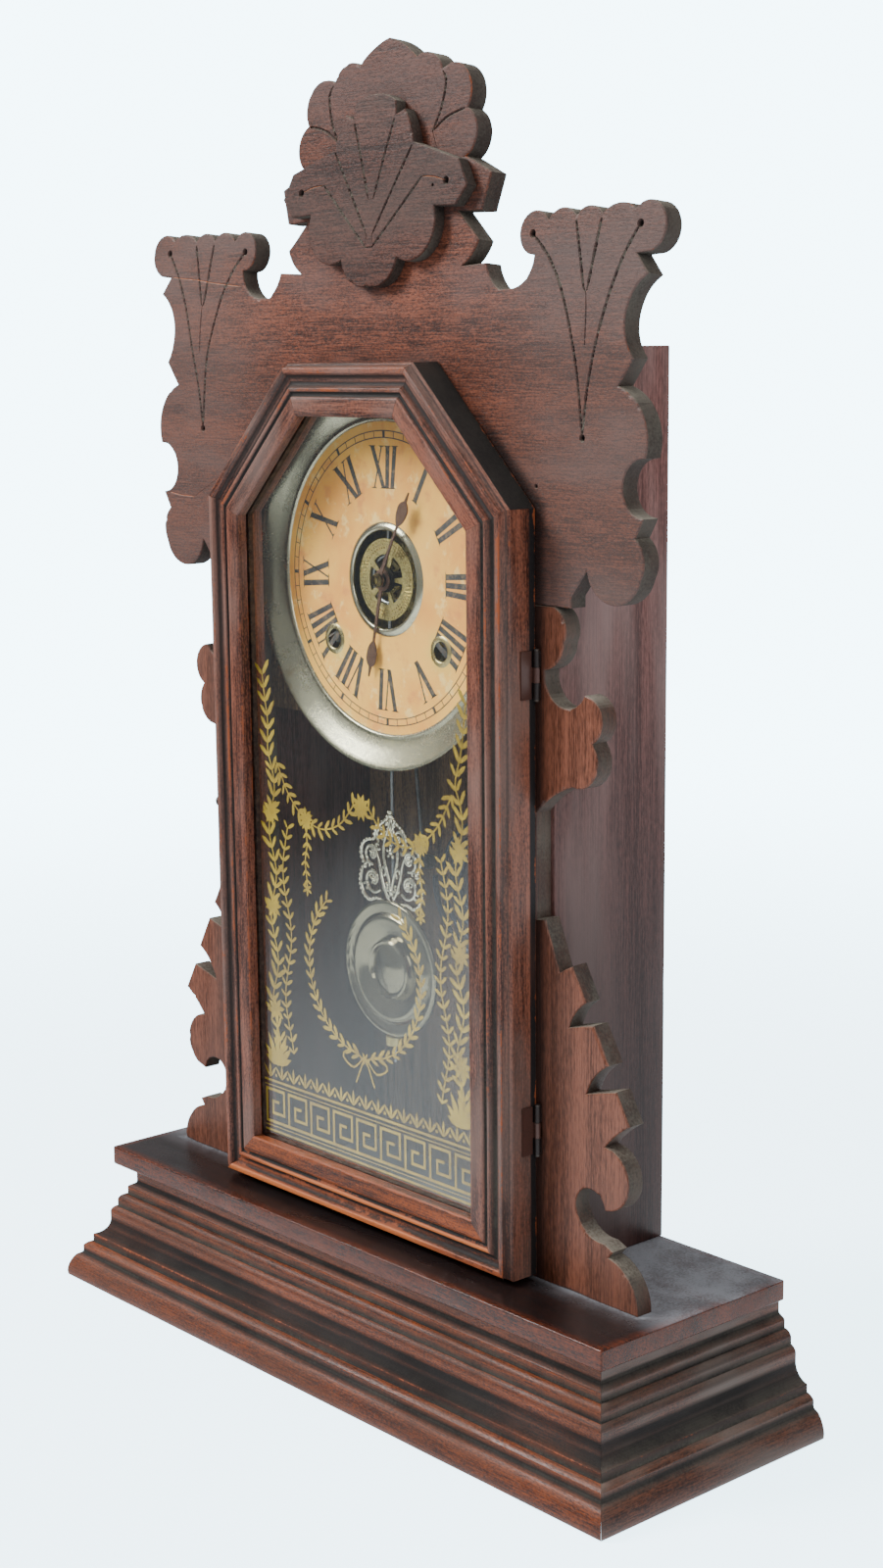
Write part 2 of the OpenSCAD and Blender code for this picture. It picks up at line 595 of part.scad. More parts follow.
// ---- pendulum ----
eye_r = 10;
bob_back = rod_y - 1;
nut_h = 3.6;
nut_z = bob_z - bob_r - nut_h - 0.4;
module pendulum_rod() color("#8c8f92") {
    foot_z = nut_z - 8;
    spring_t = 0.16;
    box(-spring_t / 2, spring_t / 2, rod_y - 1.2, rod_y + 1.2, hang_z - 12, hang_z + 0.8);
    translate([0, rod_y, dial_z + eye_r]) cylinder(h = hang_z - 12 - dial_z - eye_r + 1, r = rod_r, $fn = 32);
    translate([0, rod_y, dial_z]) rotate([90, 0, 0]) rotate_extrude($fn = 96) translate([eye_r, 0]) circle(r = rod_r, $fn = 32);
    translate([0, rod_y, foot_z]) cylinder(h = dial_z - eye_r - foot_z, r = rod_r, $fn = 32);
}
module pendulum_bob() color("#b9b9ac") difference() {
    turned(0, bob_z, [[0, bob_back + 2.6], [bob_r - 4, bob_back + 2], [bob_r, bob_back - 0.6],
        [bob_r, bob_back - 1.2], [bob_r - 1.2, bob_back - 1.8], [bob_r - 5, bob_back - 1.4],
        [bob_r - 7, bob_back - 3], [bob_r - 8.4, bob_back - 3.2], [bob_r - 13, bob_back - 1.8],
        [13.5, bob_back - 2.2], [12.6, bob_back - 3.4], [11.6, bob_back - 3.4],
        [10.6, bob_back - 2.4], [5, bob_back - 3.6], [0, bob_back - 4]]);
    translate([0, rod_y, bob_z - 40]) cylinder(h = 80, r = rod_r, $fn = 32);
}
// The ornament's right half, from the top of the bob upwards.
function ornament_side() = outline([
    [0, 0.3], [14, -3.1, -0.86], [20.6, 8.5, 6], [16, 12.5], [19, 22.5, 4.6], [10.5, 25.5, 2],
    [7.4, 30.4, 1], [0, 38.6, 4]]);
module bob_ornament() color("#b9b9ac") {
    y = rod_y - rod_r - 1;
    t = 0.8;
    foot = bob_z + bob_r;
    difference() {
        flat_piece([for (q = both_sides(ornament_side())) [q.x, q.y + foot]], y, t);
        for (s = [-1, 1]) {
            disc(s * 12.4, foot + 6.4, y - 1, t + 2, 4.2);
            disc(s * 10.2, foot + 18, y - 1, t + 2, 4.4);
        }
        disc(0, foot + 29.5, y - 1, t + 2, 3.6);
        disc(0, foot + 9, y - 1, t + 2, 2.6);
    }
}
module rating_nut() color("#a28a4c") difference() {
    translate([0, rod_y, nut_z]) cylinder(h = nut_h, r = 4.2, $fn = 32);
    translate([0, rod_y, nut_z - 1]) cylinder(h = nut_h + 2, r = rod_r, $fn = 32);
}

// ---- hands ----
hand_t = 0.6;
hour_y = paper_front - ring_h - 0.3 - hand_t;
minute_y = hour_y - hand_t - 1.4;
arbor_tip = minute_y - 0.8;
pipe_r = 3;
function spade(length, root) = both_sides(outline([
    [0.9, root], [0.5, length - 15.5], [2.9, length - 9.4, 0.7], [0.7, length - 4.4, 0.9], [0.15, length]]));
module hand(length, turn, y, hub_r, bore_r) {
    at_dial(turn) translate([0, 0, -dial_z]) {
        translate([0, 0, dial_z]) flat_piece(spade(length, (hub_r + bore_r) / 2), y, hand_t);
        turned(0, dial_z, [[bore_r, y], [hub_r, y], [hub_r, y + hand_t], [bore_r, y + hand_t]]);
    }
}
module hour_hand() color("#4b3a2f") hand(hour_len, hour_at, hour_y, 4.6, pipe_r);
module minute_hand() color("#5a4030") hand(minute_len, minute_at, minute_y, 3, arbor_r + 0.3);
module hand_nut() color("#8d8468") difference() {
    turned(0, dial_z, [[arbor_r + 0.3, minute_y], [3, minute_y], [3, minute_y - 0.8],
        [2.2, minute_y - 1.8], [arbor_r + 0.3, minute_y - 1.8]]);
}
module at_dial(a) {
    translate([0, 0, dial_z]) rotate([0, a, 0]) children();
}
hour_wheel_y = front_plate_y - 4.6;
cannon_r = 5.1;
motion_r = 12.5;
motion_pinion = 3.1;
motion_gap = cannon_r + motion_r + mesh_clear;
motion_at = centre_at + motion_gap * [cos(200), sin(200)];
module hour_pipe() color("#b09a4e") difference() {
    union() {
        disc(0, dial_z, hour_y, hour_wheel_y + 1 - hour_y, pipe_r);
        wheel(centre_at, hour_wheel_y, 1, motion_gap - motion_pinion - mesh_clear, 48);
        difference() {
            disc(0, dial_z, rod_y - rod_r - 1, 0.6, 17.1);
            for (i = [0:4]) translate([0, rod_y, dial_z]) rotate([90, 0, 0]) rotate([0, 0, 72 * i + 8])
                rotate_extrude(angle = 56, $fn = 96) translate([5.2, 0]) square([5.4, 4]);
        }
    }
    disc(0, dial_z, hour_y - 1, 40, arbor_r + 0.3 + run_clear);
}
module motion_wheel() color("#a78a45") difference() {
    union() {
        wheel(motion_at, front_plate_y - 2.6, 1, motion_r, 30, 4);
        disc(motion_at.x, motion_at.y, hour_wheel_y - 0.8, 2.9, motion_pinion);
    }
    disc(motion_at.x, motion_at.y, hour_wheel_y - 2, 10, 0.9 + run_clear);
}

// ---- strike ----
gong_z = 205;
gong_r0 = 9;
gong_step = 2.9;
gong_wire = 1.2;
strike_y = plates_back + 3.6;
hammer_len = 135;
hammer_at_angle = 6;
module hammer() color("#7a7468") {
    head = hammer_at + hammer_len * [sin(hammer_at_angle), -cos(hammer_at_angle)];
    arbor(hammer_at);
    disc(hammer_at.x, hammer_at.y, plates_back - eps, strike_y + 1.4 - plates_back, arbor_r);
    disc(hammer_at.x, hammer_at.y, strike_y - 1.4, 2.8, 2.2);
    translate([hammer_at.x, strike_y, hammer_at.y]) rotate([0, 180 - hammer_at_angle, 0])
        cylinder(h = hammer_len, r = 0.9, $fn = 32);
    translate([head.x, strike_y, head.y]) rotate([0, 90 - hammer_at_angle, 0]) translate([0, 0, -4.5])
        cylinder(h = 9, r = 3.4, $fn = 32);
}
module gong() color("#4f5358") {
    coil(0, gong_z, strike_y, gong_r0, gong_step, 9) circle(r = gong_wire, $fn = 32);
}
module gong_stand() color("#3b3a38") {
    box(-16, 16, backboard_y - 5, backboard_y, gong_z - 16, gong_z + 16);
    difference() {
        disc(gong_r0, gong_z, strike_y - gong_wire - 1.4, backboard_y - 5 + eps - strike_y + gong_wire + 1.4, 2.8);
        coil(0, gong_z, strike_y, gong_r0, gong_step, 1) circle(r = gong_wire, $fn = 32);
    }
}

base_moulding_front();
base_moulding_left();
base_moulding_right();
base_back_rail();
base_top_board();
case_side_left();
case_side_right();
case_top();
back_board();
crest_board();
front_board_left();
front_board_right();
crest_shield();
dial_cleats();
dial_pan();
dial_paper();
dial_rings();
dial_feet();
door_bottom_rail();
door_stile_right();
door_corner_right();
door_top_rail();
door_corner_left();
door_stile_left();
door_glass();
glass_putty();
door_knob();
hinge_case_leaves();
hinge_door_leaves();
hinge_pins();
front_plate();
back_plate();
plate_pillars();
pillar_nuts();
movement_feet();
feet_screws();
mainsprings();
time_winding_arbor();
time_great_wheel();
time_second_wheel();
centre_arbor();
time_third_wheel();
escape_wheel();
verge();
suspension_post();
pendulum_rod();
pendulum_bob();
bob_ornament();
rating_nut();
motion_wheel();
hour_pipe();
hour_hand();
minute_hand();
hand_nut();
strike_winding_arbor();
strike_great_wheel();
strike_second_wheel();
hammer();
gong();
gong_stand();
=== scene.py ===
import math
import random
import bpy
import bmesh
import numpy as np
from mathutils import Vector, Matrix, noise
from mathutils.geometry import delaunay_2d_cdt


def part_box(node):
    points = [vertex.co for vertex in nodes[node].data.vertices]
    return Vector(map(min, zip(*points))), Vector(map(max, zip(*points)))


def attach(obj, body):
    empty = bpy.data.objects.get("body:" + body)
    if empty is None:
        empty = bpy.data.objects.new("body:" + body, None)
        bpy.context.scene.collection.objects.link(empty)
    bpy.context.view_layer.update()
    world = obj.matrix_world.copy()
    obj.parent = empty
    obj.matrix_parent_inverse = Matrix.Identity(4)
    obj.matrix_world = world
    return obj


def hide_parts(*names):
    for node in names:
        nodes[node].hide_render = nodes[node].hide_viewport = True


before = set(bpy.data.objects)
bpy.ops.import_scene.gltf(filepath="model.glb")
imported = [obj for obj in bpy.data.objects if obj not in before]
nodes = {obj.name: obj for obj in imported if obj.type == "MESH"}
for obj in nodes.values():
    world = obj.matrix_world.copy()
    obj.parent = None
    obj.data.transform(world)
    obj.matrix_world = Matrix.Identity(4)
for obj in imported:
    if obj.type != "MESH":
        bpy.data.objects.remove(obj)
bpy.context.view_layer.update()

mm = 0.001


def corner(node, which, axis):  # one coordinate of a CAD node's box, in mm
    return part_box(node)[which]["xyz".index(axis)] / mm


def middle(node):  # height of the middle of a CAD node's box, in mm
    return (corner(node, 0, "z") + corner(node, 1, "z")) / 2


def shown(name, data):
    thing = bpy.data.objects.new(name, data)
    bpy.context.scene.collection.objects.link(thing)
    return thing


def rgb(code):  # a colour as seen, to linear light
    parts = [int(code[i:i + 2], 16) / 255 for i in (0, 2, 4)]
    return tuple(c / 12.92 if c <= 0.04045 else ((c + 0.055) / 1.055) ** 2.4 for c in parts)


def polar(x, z, r, angle):
    return Vector((x + r * math.cos(angle), z + r * math.sin(angle)))


# node graphs

class outlet:  # one output of a node; sums of outlets become nodes
    def __init__(self, graph, socket):
        self.graph, self.socket = graph, socket

    def __add__(self, other):
        return self.graph.math("ADD", self, other)

    def __sub__(self, other):
        return self.graph.math("SUBTRACT", self, other)

    def __rsub__(self, other):
        return self.graph.math("SUBTRACT", other, self)

    def __mul__(self, other):
        return self.graph.math("MULTIPLY", self, other)


class nodeGraph:  # fills a node tree; an input is an outlet, a number, a colour or a vector
    def __init__(self, tree):
        self.tree = tree

    def put(self, socket, value):
        if isinstance(value, outlet):
            self.tree.links.new(value.socket, socket)
        else:
            socket.default_value = (*value, 1) if socket.type == "RGBA" else value

    def fill(self, node, inputs):
        for label, value in inputs.items():
            self.put(node.inputs[label], value)

    def add(self, kind, inputs={}, out=0, **settings):
        node = self.tree.nodes.new(kind)
        for label, value in settings.items():
            setattr(node, label, value)
        self.fill(node, inputs)
        return outlet(self, node.outputs[out])

    def math(self, how, *values):
        return self.add("ShaderNodeMath", dict(enumerate(values)), operation=how)

    def vector(self, how, *values):
        return self.add("ShaderNodeVectorMath", dict(enumerate(values)), "Value", operation=how)

    def xyz(self, *values):
        return self.add("ShaderNodeCombineXYZ", dict(enumerate(values)))

    def parts(self, vector):
        split = self.add("ShaderNodeSeparateXYZ", {0: vector}).socket.node
        return [outlet(self, s) for s in split.outputs]

    def noise(self, vector, scale, detail, rough, offset=(0, 0, 0)):
        scales = scale if isinstance(scale, tuple) else (scale,) * 3
        place = self.add("ShaderNodeMapping", {"Vector": vector, "Scale": scales, "Location": offset})
        inputs = {"Vector": place, "Scale": 1, "Detail": detail, "Roughness": rough}
        return self.add("ShaderNodeTexNoise", inputs, "Fac")

    def ramp(self, value, low, high, to0=0.0, to1=1.0):  # eased from low to high
        inputs = {"Value": value, "From Min": low, "From Max": high, "To Min": to0, "To Max": to1}
        return self.add("ShaderNodeMapRange", inputs, "Result", interpolation_type="SMOOTHSTEP")

    def mix(self, share, a, b, blend="MIX"):  # the colours' sockets are 6 and 7
        return self.add("ShaderNodeMix", {0: share, 6: a, 7: b}, 2, data_type="RGBA", blend_type=blend)

    def between(self, share, a, b):
        return self.add("ShaderNodeMixShader", {0: share, 1: a, 2: b})

    def forRay(self, kind, others, these):  # one shader for one kind of ray, one for all other light
        return self.between(self.add("ShaderNodeLightPath", out=kind), others, these)

    def mark(self, name):  # a number that the mesh carries
        return self.add("ShaderNodeAttribute", out="Fac", attribute_name=name)

    def bump(self, height, strength, distance):
        return self.add("ShaderNodeBump", {"Height": height, "Strength": strength, "Distance": distance})


def blended(a, b, share):
    return a * share + b * (1 - share)


def newTree(kind, name, ins, outs):  # ins and outs give each label its kind of socket
    tree = bpy.data.node_groups.new(name, kind)
    graph = nodeGraph(tree)
    graph.keys = {}
    for side, rows in (("INPUT", ins), ("OUTPUT", outs)):
        for label, socketKind in rows.items():
            socket = tree.interface.new_socket(label, in_out=side, socket_type="NodeSocket" + socketKind)
            if side == "INPUT":
                graph.keys[label] = socket.identifier
    graph.result = tree.nodes.new("NodeGroupOutput")
    return graph, {s.name: outlet(graph, s) for s in tree.nodes.new("NodeGroupInput").outputs}


def newMaterial(name):
    mat = bpy.data.materials.new(name)
    mat.use_nodes = True
    g = nodeGraph(mat.node_tree)
    return mat, g, g.add("ShaderNodeTexCoord", out="Object")


def coated(mat, values):  # the values go to the material's own shader
    nodeGraph(mat.node_tree).fill(mat.node_tree.nodes["Principled BSDF"], values)
    return mat


def skinOf(g):
    return outlet(g, g.tree.nodes["Principled BSDF"].outputs[0])


def surface(g, shader):
    g.fill(g.tree.nodes["Material Output"], {"Surface": shader})


# camera, lights and floor

photoCamera = {"focal": 2452.65, "centre": (437.88, 865.05), "size": (901, 1600), "yaw": 48.957,
               "pitch": 11.615, "roll": -0.65, "place": (766.1, -654.1, 436.1), "film": 36, "sight": (0.01, 60)}


def makeCamera(c):
    yaw, pitch, roll = (math.radians(c[k]) for k in ("yaw", "pitch", "roll"))
    ahead = Vector((-math.sin(yaw) * math.cos(pitch), math.cos(yaw) * math.cos(pitch), -math.sin(pitch)))
    right = ahead.cross(Vector((0, 0, 1))).normalized()
    up = right.cross(ahead)
    turn = Matrix.Rotation(-roll, 3, ahead)
    right, up = turn @ right, turn @ up
    data = bpy.data.cameras.new("photoCamera")
    camera = shown("photoCamera", data)
    facing = Matrix((right, up, -ahead)).transposed().to_4x4()
    camera.matrix_world = Matrix.Translation(Vector(c["place"]) * mm) @ facing
    wide, tall = c["size"]
    data.sensor_fit = "VERTICAL"
    data.sensor_height = c["film"]
    data.lens = c["focal"] / tall * c["film"]
    data.shift_x = (wide / 2 - c["centre"][0]) / tall
    data.shift_y = (c["centre"][1] - tall / 2) / tall
    data.clip_start, data.clip_end = c["sight"]
    bpy.context.scene.camera = camera


studio = {"white": (0.62, 0.87, 1.0), "whiteStrength": 10.0, "fill": (0.95, 0.97, 1.0), "fillStrength": 0.36,
          "floorR": 12, "floorColour": (0.77, 0.86, 0.95), "floorRough": 0.7, "floorGlow": 4.7,
          "floorFade": (0.35, 1.6), "mirrorTint": (0.88, 0.95, 1.0), "mirrored": 2.1, "dim": 0.16,
          "shade": (0.82, -0.58, 0), "shadeFade": (-0.42, -0.02), "ahead": (0, 1, 0), "frontFade": (-1.05, -0.62),
          "lamps": [("keyLamp", (-1.6, -1.7, 2.0), (0, 0, 0.3), 1.2, 112),
                    ("sideLamp", (2.2, -0.9, 1.5), (0.05, 0, 0.25), 1.6, 26),
                    ("topLamp", (0.1, 0.3, 2.4), (0, 0, 0.2), 1.4, 22)]}


def makeLights(s):
    world = bpy.data.worlds.new("studioSky")
    bpy.context.scene.world = world
    world.use_nodes = True
    g = nodeGraph(world.node_tree)
    fill, white = (g.add("ShaderNodeBackground", {"Color": s[key], "Strength": s[key + "Strength"]})
                   for key in ("fill", "white"))
    g.fill(g.tree.nodes["World Output"], {"Surface": g.forRay("Is Camera Ray", fill, white)})
    for name, place, aim, size, power in s["lamps"]:
        data = bpy.data.lights.new(name, "AREA")
        data.shape, data.size, data.energy = "DISK", size, power
        lamp = shown(name, data)
        lamp.location = place
        lamp.rotation_euler = (Vector(aim) - Vector(place)).to_track_quat("-Z", "Y").to_euler()


def makeFloor(s):
    mesh = bpy.data.meshes.new("floor")
    ring = [(*polar(0, 0, s["floorR"], a * math.pi / 24), 0) for a in range(48)]
    mesh.from_pydata(ring, [], [list(range(48))])
    floor = shown("floor", mesh)
    mat, g, here = newMaterial("paleFloor")
    coated(mat, {"Base Color": s["floorColour"], "Roughness": s["floorRough"]})
    skin = skinOf(g)

    def glow(strength, tint="white"):
        return g.add("ShaderNodeEmission", {"Color": s[tint], "Strength": strength})

    def towards(way, shadeRamp, near, far):
        return g.between(g.ramp(g.vector("DOT_PRODUCT", here, way), *shadeRamp), near, far)

    lit = g.add("ShaderNodeAddShader", {0: skin, 1: glow(s["floorGlow"])})
    seen = g.between(g.ramp(g.vector("LENGTH", here), *s["floorFade"]), lit, glow(s["whiteStrength"]))
    mirrored = towards(s["shade"], s["shadeFade"], glow(s["dim"], "mirrorTint"), glow(s["mirrored"], "mirrorTint"))
    mirrored = towards(s["ahead"], s["frontFade"], glow(s["dim"] * 2, "mirrorTint"), mirrored)
    surface(g, g.forRay("Is Camera Ray", g.forRay("Is Glossy Ray", skin, mirrored), seen))
    mesh.materials.append(mat)


makeCamera(photoCamera)
makeLights(studio)
makeFloor(studio)
print("stage: camera, lights, floor")


# shader groups; a noise is scale, detail, roughness and offset

woodGroup = {"fibre": ((75, 1600, 1600), 5, 0.65), "bands": ((6, 110, 110), 4, 0.6, (3, 1, 2)),
             "pebble": ((650, 1100, 1100), 3, 0.6, (5, 2, 8)), "blotch": ((13, 30, 30), 3, 0.55, (7, 5, 1)),
             "pore": ((420, 3000, 3000), 2, 0.5, (1, 9, 4)), "fibreShare": 0.6, "tones": (0.36, 0.64),
             "pored": (0.55, 0.62), "poreColour": (0.012, 0.008, 0.007), "poreDepth": 0.9, "patched": (0.38, 0.68)}
dustGroup = {"cloud": (45, 4, 0.6, (2, 2, 2)), "speck": (900, 3, 0.6, (5, 5, 5)), "cloudShare": 0.6,
             "facing": (0.35, 0.95), "broken": (0.36, 0.6), "least": 0.3}
rubGroup = {"long": (55, 3, 0.6, (8, 1, 6)), "fine": (700, 3, 0.6, (1, 6, 8)), "longShare": 0.65,
            "gate": 0.55, "low": 0.25, "high": 0.36}


def makeWoodGroup(c):  # X of the vector runs along the grain, in metres
    g, given = newTree("ShaderNodeTree", "agedWood", {
        "Vector": "Vector", "Dark": "Color", "Light": "Color", "Bloom": "Color", "Bloom Amount": "Float",
        "Pores": "Float", "Bands": "Float"}, {"Color": "Color", "Height": "Float", "Patches": "Float"})
    fibre, bands, pebble, blotch, pore = (
        g.noise(given["Vector"], *c[key]) for key in ("fibre", "bands", "pebble", "blotch", "pore"))
    fine = blended(fibre, pebble, c["fibreShare"])
    tone = g.ramp(fine + (bands - 0.5) * given["Bands"], *c["tones"])
    pores = g.ramp(pore, *c["pored"]) * given["Pores"]
    pored = g.mix(pores, g.mix(tone, given["Dark"], given["Light"]), c["poreColour"])
    patches = g.ramp(blotch, *c["patched"])
    colour = g.mix(patches * given["Bloom Amount"], pored, given["Bloom"])
    g.fill(g.result, {"Color": colour, "Height": fine - pores * c["poreDepth"], "Patches": patches})
    return g.tree


def makeDustGroup(c):  # dust lies on what faces up, and where the mesh says so
    g, given = newTree("ShaderNodeTree", "settledDust", {"Vector": "Vector", "Up Amount": "Float", "Kept": "Float"},
                       {"Mask": "Float"})
    up = g.parts(g.add("ShaderNodeNewGeometry", out="True Normal"))[2]
    both = g.math("MAXIMUM", g.ramp(up, *c["facing"]) * given["Up Amount"], given["Kept"])
    cloud, speck = (g.noise(given["Vector"], *c[key]) for key in ("cloud", "speck"))
    spotty = g.ramp(blended(cloud, speck, c["cloudShare"]), *c["broken"])
    g.fill(g.result, {"Mask": both * (spotty * (1 - c["least"]) + c["least"])})
    return g.tree


def makeRubGroup(c):  # varnish rubbed off where the mesh says an edge is proud
    g, given = newTree("ShaderNodeTree", "rubbedEdge", {"Vector": "Vector", "Proud": "Float", "Amount": "Float"},
                       {"Mask": "Float"})
    long, fine = (g.noise(given["Vector"], *c[key]) for key in ("long", "fine"))
    gate = 1.0 - given["Proud"] * given["Amount"]
    low, high = (gate * c["gate"] + c[key] for key in ("low", "high"))
    g.fill(g.result, {"Mask": g.ramp(blended(long, fine, c["longShare"]), low, high)})
    return g.tree


groups = {"wood": makeWoodGroup(woodGroup), "dust": makeDustGroup(dustGroup), "rub": makeRubGroup(rubGroup)}


# finishes

anyWood = {"bloomAmount": 0.4, "bands": 0.3, "dustUp": 0.5, "rub": 0.4, "gloss": 0.34, "sootDull": 0.8,
           "pores": 0.5, "bump": 0.35, "shadeRamp": (0.1, 0.2, 1.0, 1.0), "doorShadowAmount": 0.0, "shine": 0.32, "stretch": 1,
           "haze": 0.0}  # painted light and shade by height: two heights and the brightness at each
woods = {  # dark, light and bloom as seen, the way of the grain, what differs
    "crestWood": ("2a110a", "7c442f", "5c4843", "x", {
        "bloomAmount": 0.6, "dustUp": 0.85, "rub": 0.5, "gloss": 0.4, "bump": 0.7, "shadeRamp": (0.46, 0.51, 1.2, 0.8),
        "doorShadowAmount": 0.85, "shine": 0.24, "haze": 0.5}),
    "shieldWood": ("23110c", "613a2e", "4d3c35", "x", {
        "bloomAmount": 0.5, "dustUp": 0.85, "rub": 0.3, "gloss": 0.42, "bump": 0.7, "shine": 0.26}),
    "frontWood": ("43200f", "86503b", "604a42", "z", {
        "bands": 0.45, "dustUp": 0.9, "rub": 0.34, "gloss": 0.36, "pores": 0.22, "bump": 0.4,
        "shadeRamp": (0.1, 0.3, 0.9, 1.0), "doorShadowAmount": 0.85, "stretch": 0.35}),
    "doorWood": ("2c130c", "8c5440", "7a635a", "uv", {
        "bloomAmount": 0.6, "bands": 0.7, "dustUp": 0.12, "rub": 0.68, "pores": 0.55, "bump": 0.5}),
    "wornRailWood": ("260d05", "96491f", "6b3a22", "uv", {
        "bloomAmount": 0.3, "bands": 1.0, "dustUp": 0.12, "rub": 0.85, "gloss": 0.36, "pores": 0.9, "bump": 0.5,
        "shine": 0.3}),
    "baseWood": ("2c0e05", "8a421a", "553220", "uv", {
        "dustUp": 0.06, "rub": 0.66, "gloss": 0.27, "sootDull": 1.3, "bump": 0.4, "shadeRamp": (0.0, 0.01, 0.85, 1.0),
        "shine": 0.27}),
    "baseSideWood": ("26120c", "6a3d2a", "685c55", "uv", {
        "bloomAmount": 0.9, "dustUp": 0.2, "rub": 0.56, "sootDull": 0.9, "pores": 0.4, "bump": 0.4,
        "shadeRamp": (0.0, 0.04, 1.15, 1.0), "shine": 0.34}),
    "slabWood": ("1c0803", "6a2f15", "432016", "x", {
        "bands": 0.4, "dustUp": 0.0, "gloss": 0.22, "sootDull": 0.0, "pores": 0.3}),
    "caseWood": ("2c1613", "573833", "65534f", "z", {
        "bloomAmount": 0.8, "bands": 0.4, "dustUp": 0.4, "rub": 0.34, "pores": 0.2, "shadeRamp": (0.12, 0.42, 0.6, 2.7),
        "shine": 0.24, "stretch": 0.4}),
    "caseTopWood": ("2f1a1a", "54353a", "5f454a", "x", {
        "bloomAmount": 0.35, "bands": 0.5, "dustUp": 0.95, "gloss": 0.45, "pores": 0.3}),
    "railWood": ("2c1c14", "604634", "6f5a48", "x", {"bands": 0.7, "rub": 0.2, "gloss": 0.6}),
    "bareWood": ("4b3626", "8a6a4c", "6f5a48", "z", {"bands": 0.8, "rub": 0.1, "gloss": 0.75})}
# the bluish grey dust of the slab is partly a painted reflection of the pale backdrop
wear = {"dust": rgb("868073"), "slabDustAndSheen": rgb("8f9298"), "dustMost": 0.85, "rub": rgb("8c4726"),
        "raw": rgb("c8703a"), "rawLevels": (1.1, 1.6, 0, 0.8), "haze": rgb("5c4e49"),
        # the near-black colour below darkens cut lines, hollows and sawn edges with soot and painted shade, and
        # paints the door's shadow
        "hazeLevels": (0.05, 0.115, 0.08), "sootAndShade": (0.007, 0.005, 0.005), "patchDull": 0.14, "dull": 0.4,
        "relief": 0.0002, "speck": (1500, 3, 0.7), "speckShare": 0.35}
doorDiagonal = 472.8  # x + z along the edge of the cut corner, in mm
# where the door's painted shadow lies on the boards beside its right edge
doorShadowPlace = {"x": corner("door_stile_right", 1, "x") * mm, "top": corner("door_top_rail", 1, "z") * mm,
             "diagonal": doorDiagonal * mm, "outside": (0.001, 0.0075, 1, 0), "inside": (-0.003, 0),
             "right": (0.05, 0.075)}


def paintedDoorShadow(g, x, z, c):  # painted shadow of the door on the boards beside its right edge
    slant = (x + z - c["diagonal"]) * math.sqrt(0.5)
    gap = g.math("MAXIMUM", g.math("MAXIMUM", x - c["x"], slant), z - c["top"])
    return g.ramp(gap, *c["outside"]) * g.ramp(gap, *c["inside"]) * g.ramp(x, *c["right"])


def makeWood(name, dark, light, bloom, way, changes):
    c = {**anyWood, **changes}
    mat, g, here = newMaterial(name)
    upwards = {"Scale": (1, 1, c["stretch"]), "Rotation": (0, math.pi / 2, 0)}
    turn = upwards if way == "z" else {"Scale": (c["stretch"], 1, 1)}
    along = g.add("ShaderNodeUVMap", uv_map="alongGrain") if way == "uv" else here
    grain = g.add("ShaderNodeMapping", {"Vector": along, **turn})

    def placed(key, vector, inputs):
        return g.add("ShaderNodeGroup", {"Vector": vector, **inputs}, node_tree=groups[key])

    wood = placed("wood", grain, {"Dark": rgb(dark), "Light": rgb(light), "Bloom": rgb(bloom),
                                  "Bloom Amount": c["bloomAmount"], "Pores": c["pores"], "Bands": c["bands"]})
    tone, height, patches = (outlet(g, s) for s in wood.socket.node.outputs)
    dust = placed("dust", here, {"Up Amount": c["dustUp"], "Kept": g.mark("dust")})
    rub = placed("rub", here, {"Proud": g.mark("proud"), "Amount": c["rub"]})
    groove = g.mark("groove")
    x, _, z = g.parts(here)
    # painted light and shade: the colour made darker or lighter by height, as the light falls on case and crest
    tone = g.mix(1.0, tone, g.ramp(z, *c["shadeRamp"]), "MULTIPLY")
    if c["haze"]:  # greyer towards both wings
        tone = g.mix(g.ramp(g.math("ABSOLUTE", x), *wear["hazeLevels"], c["haze"]), tone, wear["haze"])
    # the groove mark (soot and painted shade) and the door's painted shadow darken the wood
    sootAndShade = g.math("MAXIMUM", groove, paintedDoorShadow(g, x, z, doorShadowPlace) * c["doorShadowAmount"]) if c["doorShadowAmount"] else groove
    rubbed = g.mix(rub, g.mix(sootAndShade, tone, wear["sootAndShade"]), wear["rub"])
    rubbed = g.mix(g.ramp(g.mark("proud"), *wear["rawLevels"]), rubbed, wear["raw"])
    dusty = g.mix(dust * wear["dustMost"], rubbed, wear["slabDustAndSheen" if name == "slabWood" else "dust"])
    rough = g.ramp(patches, 0, 1, c["gloss"], c["gloss"] + wear["patchDull"])
    relief = height + g.noise(here, *wear["speck"]) * wear["speckShare"]
    return coated(mat, {"Base Color": dusty, "Roughness": rough + (dust + groove * c["sootDull"]) * wear["dull"],
                        "Specular IOR Level": c["shine"], "Normal": g.bump(relief, c["bump"], wear["relief"])})


